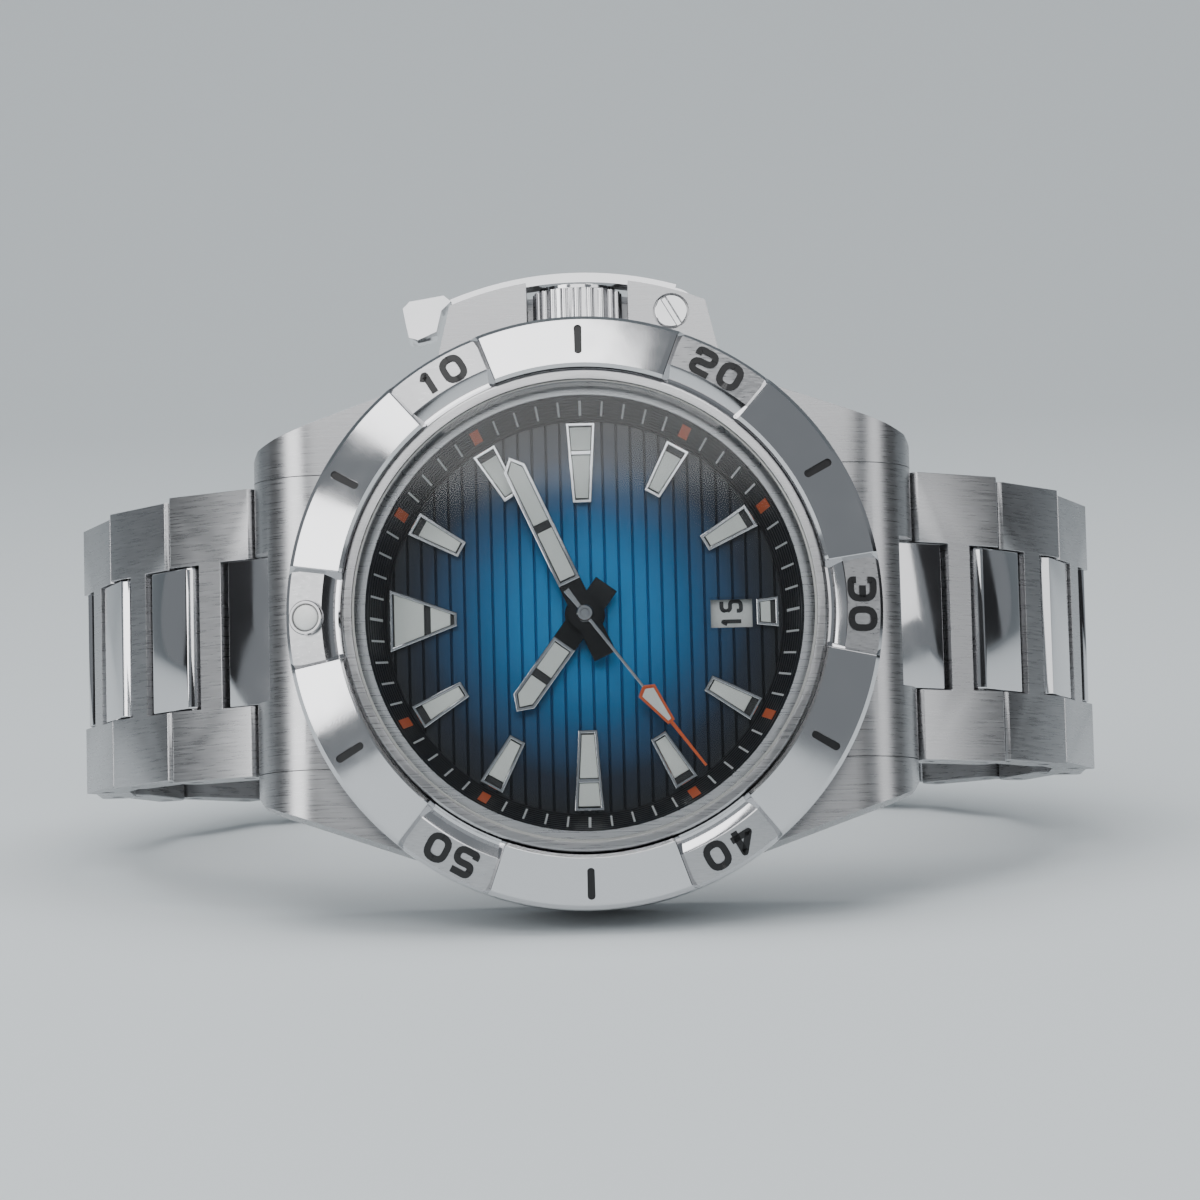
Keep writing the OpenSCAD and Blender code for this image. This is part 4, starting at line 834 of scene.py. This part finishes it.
def width_at(y, y0, y1, w0, w1):
    return w0 + (w1 - w0) * (y - y0) / (y1 - y0)


def pad(y0, y1, shape, side, low, high):
    """A pad of paint between y0 and y1 inside a trapezium shape, side in from its edges."""
    w0, w1 = width_at(y0, *shape) - 2 * side, width_at(y1, *shape) - 2 * side
    return prism(trapezium(y0, y1, w0, w1), low, high, 0.04)


# %% Hour markers
MARKER_OUT, MARKER_H, RIM = 14.5, 0.75, 0.24
FLOOR, PAINT = 0.40, 0.66
frames, paint = bmesh.new(), bmesh.new()


def marker(angle, shape, pads, bars=()):
    """A marker pointing outwards along y, with its pads of paint and cross bars, turned to its hour."""
    y0, y1, w0, w1 = shape
    join(frames, framed(trapezium(y0, y1, w0, w1), FLOOR, MARKER_H, RIM), clock(angle))
    for low, high in pads:
        join(paint, pad(low, high, shape, RIM + 0.02, FLOOR, PAINT), clock(angle))
    for low, high in bars:
        join(frames, pad(low, high, shape, RIM - 0.04, FLOOR - 0.1, MARKER_H), clock(angle))


for hour in (1, 2, 4, 5, 7, 8, 10, 11):
    y0 = MARKER_OUT - 4.1
    marker(30 * hour, (y0, MARKER_OUT, 1.3, 1.9), [(y0 + 0.34, MARKER_OUT - 0.75)])
for hour in (3, 9):
    y0 = MARKER_OUT - 6.0
    marker(30 * hour, (y0, MARKER_OUT, 1.4, 2.2),
           [(y0 + 0.34, MARKER_OUT - 2.45), (MARKER_OUT - 2.05, MARKER_OUT - 0.34)],
           [(MARKER_OUT - 2.4, MARKER_OUT - 2.1)])
y0 = MARKER_OUT - 5.0
marker(0, (y0, MARKER_OUT, 1.0, 4.7), [(y0 + 0.5, y0 + 1.95), (y0 + 2.45, MARKER_OUT - 0.34)])
y1 = MARKER_OUT - 0.1
y0 = DATE_IN + DATE_L + 0.3
marker(180, (y0, y1, 1.9, 2.3), [(y0 + 0.30, y1 - 0.62)])
finish_piece("hour_marker_frames", frames, "case", "steel_polished", polished, black_print,
             replaces=("hour_markers",))
finish_piece("hour_marker_paint", paint, "case", "lume", lume)

# %% [markdown]
# ## Date
# The window has a raised steel frame. The disc under it carries a black 15.

# %% Date
date_mid = -DATE_IN - DATE_L / 2
sill = [(-DATE_W / 2 - 0.14, date_mid - DATE_L / 2 - 0.14), (DATE_W / 2 + 0.14, date_mid - DATE_L / 2 - 0.14),
        (DATE_W / 2 + 0.14, date_mid + DATE_L / 2 + 0.14), (-DATE_W / 2 - 0.14, date_mid + DATE_L / 2 + 0.14)]
window_frame = bmesh.new()
inner = outline(window_frame, sill, 0.02)
rim_faces = bmesh.ops.inset_region(window_frame, faces=[inner], thickness=0.15, use_boundary=True,
                                   use_even_offset=True)["faces"]
bmesh.ops.delete(window_frame, geom=[inner], context="FACES")
raised = bmesh.ops.extrude_face_region(window_frame, geom=rim_faces, use_keep_orig=True)["geom"]
bmesh.ops.translate(window_frame, verts=corners(raised), vec=(0, 0, 0.10))
bmesh.ops.recalc_face_normals(window_frame, faces=window_frame.faces)
finish_piece("date_window_frame", window_frame, "case", "steel_polished", blackened)
day = figures("15", 1.75, 1.02, 0.30, 0.22, 0.02)
bmesh.ops.transform(day, matrix=Matrix.Translation((0, date_mid, -0.695)), verts=day.verts)
finish_piece("date_figures", day, "date", "black_ring", black_print)

# %% [markdown]
# ## Hands
# The hour and minute hands are framed like the markers, with a wedge tip, a black cross bar and two
# fields of paint. Their tails are short and black. The seconds hand is a thin needle with an orange
# framed kite and an orange tip.

# %% Hands
MINUTE_AT, HOUR_AT, SECONDS_AT = 65.7, 306.4, 233.0


def rectangle(half, low, high):
    """An outline from low to high along y, half wide to each side."""
    return [(-half, low), (half, low), (half, high), (-half, high)]


def sword(length, wide, start, floor_z, top_z, tip=0.95):
    """A framed blade from start to its wedge tip."""
    half = wide / 2
    points = [(-half, start), (half, start), (half, length - tip), (0, length), (-half, length - tip)]
    return framed(points, floor_z, top_z, 0.26, floor_z - 0.12, 0.05)


def blade_paint(wide, low, high, z0, z1, tip=None):
    """A field of paint, with a pointed end when it has a tip."""
    w = wide / 2 - 0.29
    points = rectangle(w, low, high)
    if tip:
        points = [(-w, low), (w, low), (w, high - 0.72), (0, high), (-w, high - 0.72)]
    return prism(points, z0, z1, 0.03)


def hand(name, body, angle, length, wide, tail, hub, z, split, node):
    """Hour or minute hand: frame, paint, black tail and hub."""
    frame_bm = sword(length, wide, 2.6, z + 0.14, z + 0.30)
    half = wide / 2
    bar = prism(rectangle(half - 0.2, split - 0.28, split + 0.28), z + 0.1, z + 0.28, 0.03)
    for face in bar.faces:
        face.material_index = 1
    join(frame_bm, bar)
    bmesh.ops.transform(frame_bm, matrix=clock(angle), verts=frame_bm.verts)
    finish_piece(f"{name}_frame", frame_bm, body, "steel_polished", polished, black_print, replaces=(node,))
    fields = blade_paint(wide, 2.95, split - 0.32, z + 0.12, z + 0.25)
    join(fields, blade_paint(wide, split + 0.32, length - 0.42, z + 0.12, z + 0.25, tip=True))
    bmesh.ops.transform(fields, matrix=clock(angle), verts=fields.verts)
    finish_piece(f"{name}_paint", fields, body, "lume", lume)
    root = prism(rectangle(half, -tail, 2.62), z + 0.04, z + 0.27, 0.05)
    collar = [(0.66, z + 0.02), (hub, z + 0.02), (hub, z + 0.26), (hub - 0.08, z + 0.30), (0.66, z + 0.30)]
    join(root, lathe(collar, steps=64))
    bmesh.ops.transform(root, matrix=clock(angle), verts=root.verts)
    finish_piece(f"{name}_tail", root, body, "black_ring", blackened)


hand("hour_hand", "hours", HOUR_AT, 8.8, 1.9, 2.8, 1.5, 1.30, 5.6, "hour_hand")
hand("minute_hand", "minutes", MINUTE_AT, 13.0, 1.75, 3.5, 1.3, 1.95, 7.2, "minute_hand")
print("hour and minute hands are on their pipes")

# %% Seconds hand
SECONDS_Z = 2.60
needle = prism([(-0.24, -2.2), (0.24, -2.2), (0.13, 0), (0.10, 7.05), (-0.10, 7.05), (-0.13, 0)],
               SECONDS_Z, SECONDS_Z + 0.16, 0.03)
join(needle, lathe([(0.001, SECONDS_Z - 0.28), (0.55, SECONDS_Z - 0.28), (0.62, SECONDS_Z + 0.02),
                    (0.62, SECONDS_Z + 0.26), (0.54, SECONDS_Z + 0.36), (0.34, SECONDS_Z + 0.36),
                    (0.30, SECONDS_Z + 0.28), (0.001, SECONDS_Z + 0.28)], steps=48))
bmesh.ops.transform(needle, matrix=clock(SECONDS_AT), verts=needle.verts)
finish_piece("seconds_needle", needle, "seconds", "steel_polished", polished, replaces=("seconds_hand",))
kite = [(-0.12, 6.95), (0.12, 6.95), (0.76, 7.35), (0.30, 10.30), (-0.30, 10.30), (-0.76, 7.35)]
kite_frame = framed(kite, SECONDS_Z + 0.06, SECONDS_Z + 0.18, 0.17, SECONDS_Z, 0.03)
tip = [(-0.14, 10.2), (0.14, 10.2), (0.09, 14.4), (-0.09, 14.4)]
join(kite_frame, prism(tip, SECONDS_Z, SECONDS_Z + 0.15, 0.03))
bmesh.ops.transform(kite_frame, matrix=clock(SECONDS_AT), verts=kite_frame.verts)
finish_piece("seconds_kite", kite_frame, "seconds", "orange", orange, orange)
kite_paint = prism([(-0.05, 7.22), (0.05, 7.22), (0.53, 7.5), (0.14, 10.08), (-0.14, 10.08), (-0.53, 7.5)],
                   SECONDS_Z + 0.05, SECONDS_Z + 0.13, 0.0)
bmesh.ops.transform(kite_paint, matrix=clock(SECONDS_AT), verts=kite_paint.verts)
finish_piece("seconds_paint", kite_paint, "seconds", "lume", lume)

# %% [markdown]
# ## Crown and lever
# The crown is fluted: twenty rounded ribs round a polished barrel. The lever's arm lies over the guard.

# %% Crown and lever
for node, finish in (("crown", polished), ("lock_lever", polished), ("lever_pivot_screw", polished)):
    made = refine(node, body_of[node], "steel_polished", finish, 0.05 * MM)
    print(made.name, len(made.data.polygons), "faces")

# %% [markdown]
# ## The CAD nodes that stay
# Gaskets, springs, wheels and plates keep their CAD shape, since only a sliver of them ever shows.
# Each still gets its own finish: turned grain on the plates, satin brass on the wheels.

# %% Finishes for the CAD nodes
kept = {
    "case_back_gasket": rubber, "bezel_click_spring": brass, "crystal": sapphire, "crystal_gasket": nylon,
    "date_ring": nylon, "crown_tube": polished, "winding_stem": turned_steel, "guard_screws": turned_steel,
    "movement_holder": nylon, "mainplate": turned_steel, "barrel": brass, "centre_wheel": brass,
    "third_wheel": brass, "fourth_wheel": brass, "escape_wheel": turned_steel, "pallet_fork": turned_steel,
    "balance_wheel": brass, "hairspring": blued, "train_bridge": turned_steel, "balance_cock": turned_steel,
    "rotor": brass, "cannon_pinion": turned_steel, "minute_wheel": brass, "hour_wheel": brass,
    "setting_lever": turned_steel, "lug_spring_bars": turned_steel,
}
for node, finish in kept.items():
    nodes[node].data.materials.clear()
    nodes[node].data.materials.append(finish)
print(len(kept), "CAD nodes dressed")

# %% [markdown]
# ## Studio
# A pale floor that curves up into a wall, and broad, dim softboxes. Polished steel shows whatever
# stands round it, so its contrast comes from the gaps: the front softbox starts just above the line
# that the lower half of the crystal mirrors. Two dark panels stand low on either side of the camera,
# and two more stand beside the watch, where the bracelet's outer links mirror them.

# %% Floor
floor = bmesh.new()
sweep = [floor.verts.new((-1.5, -1.2, 0)), floor.verts.new((-1.5, 0.35, 0))]
bend = 12
for k in range(1, bend + 1):
    turn = math.pi / 2 * k / bend
    sweep.append(floor.verts.new((-1.5, 0.35 + 0.3 * math.sin(turn), 0.3 - 0.3 * math.cos(turn))))
sweep.append(floor.verts.new((-1.5, 0.65, 1.6)))
runs = [floor.edges.new(pair) for pair in zip(sweep, sweep[1:])]
out = bmesh.ops.extrude_edge_only(floor, edges=runs)["geom"]
bmesh.ops.translate(floor, verts=corners(out), vec=(3.0, 0, 0))
bmesh.ops.recalc_face_normals(floor, faces=floor.faces)
for face in floor.faces:
    face.smooth = True
floor_mesh = bpy.data.meshes.new("floor")
floor.to_mesh(floor_mesh)
floor.free()
floor_piece = bpy.data.objects.new("floor", floor_mesh)
bpy.context.scene.collection.objects.link(floor_piece)
paper, _, _ = new_finish("pale_paper", (0.62, 0.66, 0.68), 0.0, 0.75)
floor_mesh.materials.append(paper)


# %% Lights
def softbox(name, place, aim, size, power):
    light = bpy.data.lights.new(name, "AREA")
    light.shape = "RECTANGLE"
    light.size, light.size_y = size
    light.energy = power
    lamp = bpy.data.objects.new(name, light)
    lamp.location = place
    lamp.rotation_euler = (Vector(aim) - Vector(place)).to_track_quat("-Z", "Y").to_euler()
    bpy.context.scene.collection.objects.link(lamp)


def dark_panel(name, place, aim, size):
    """A black card that faces a point."""
    bm = bmesh.new()
    bmesh.ops.create_grid(bm, x_segments=1, y_segments=1, size=0.5)
    bmesh.ops.scale(bm, vec=(*size, 1), verts=bm.verts)
    mesh = bpy.data.meshes.new(name)
    bm.to_mesh(mesh)
    bm.free()
    card = bpy.data.objects.new(name, mesh)
    card.location = place
    card.rotation_euler = (Vector(aim) - Vector(place)).to_track_quat("Z", "Y").to_euler()
    mesh.materials.append(black_card)
    bpy.context.scene.collection.objects.link(card)


heart = tuple(dial_centre)
black_card, _, _ = new_finish("black_card", (0.015, 0.015, 0.017), 0.0, 0.8)
softbox("top_light", (0.0, 0.02, 0.60), heart, (0.80, 0.40), 3.9)
softbox("key_light", (-0.12, -0.36, 0.50), heart, (0.40, 0.20), 0.95)
softbox("front_light", (0.02, -0.52, 0.325), heart, (0.46, 0.17), 0.55)
softbox("left_light", (-0.46, -0.42, 0.22), heart, (0.30, 0.34), 1.25)
softbox("right_light", (0.50, -0.32, 0.22), heart, (0.24, 0.34), 0.40)
dark_panel("left_panel", (-0.15, -0.50, 0.11), heart, (0.10, 0.22))
dark_panel("right_panel", (0.19, -0.48, 0.12), heart, (0.16, 0.24))
dark_panel("far_right_panel", (0.58, -0.02, 0.16), heart, (0.30, 0.30))
dark_panel("far_left_panel", (-0.60, -0.06, 0.16), heart, (0.22, 0.30))
world = bpy.data.worlds.new("studio_air")
bpy.context.scene.world = world
world.use_nodes = True
world.node_tree.nodes["Background"].inputs["Color"].default_value = (0.80, 0.86, 0.92, 1)
world.node_tree.nodes["Background"].inputs["Strength"].default_value = 0.30

# %% [markdown]
# ## Camera
# A short telephoto view, a little above the table, looking at the dial from slightly below its axis.

# %% Camera
DISTANCE, ELEVATION, AZIMUTH, ROLL = 0.375, 7.8, 0.3, 1.5
aim = dial_centre
up = math.radians(ELEVATION)
turn = math.radians(AZIMUTH)
offset = Vector((math.sin(turn) * math.cos(up), -math.cos(turn) * math.cos(up), math.sin(up))) * DISTANCE
camera_data = bpy.data.cameras.new("camera")
camera_data.sensor_width = 36
camera_data.lens = 151.3
camera_data.clip_start = 0.01
camera_data.shift_x = 0.0125
camera_data.shift_y = 0.0142
camera = bpy.data.objects.new("camera", camera_data)
camera.location = aim + offset
look = (-offset).to_track_quat("-Z", "Y").to_matrix()
camera.rotation_euler = (look @ Matrix.Rotation(math.radians(-ROLL), 3, "Z")).to_euler()
bpy.context.scene.collection.objects.link(camera)
bpy.context.scene.camera = camera
print(f"camera: {camera_data.lens:.0f} mm lens at {DISTANCE * 1000:.0f} mm")
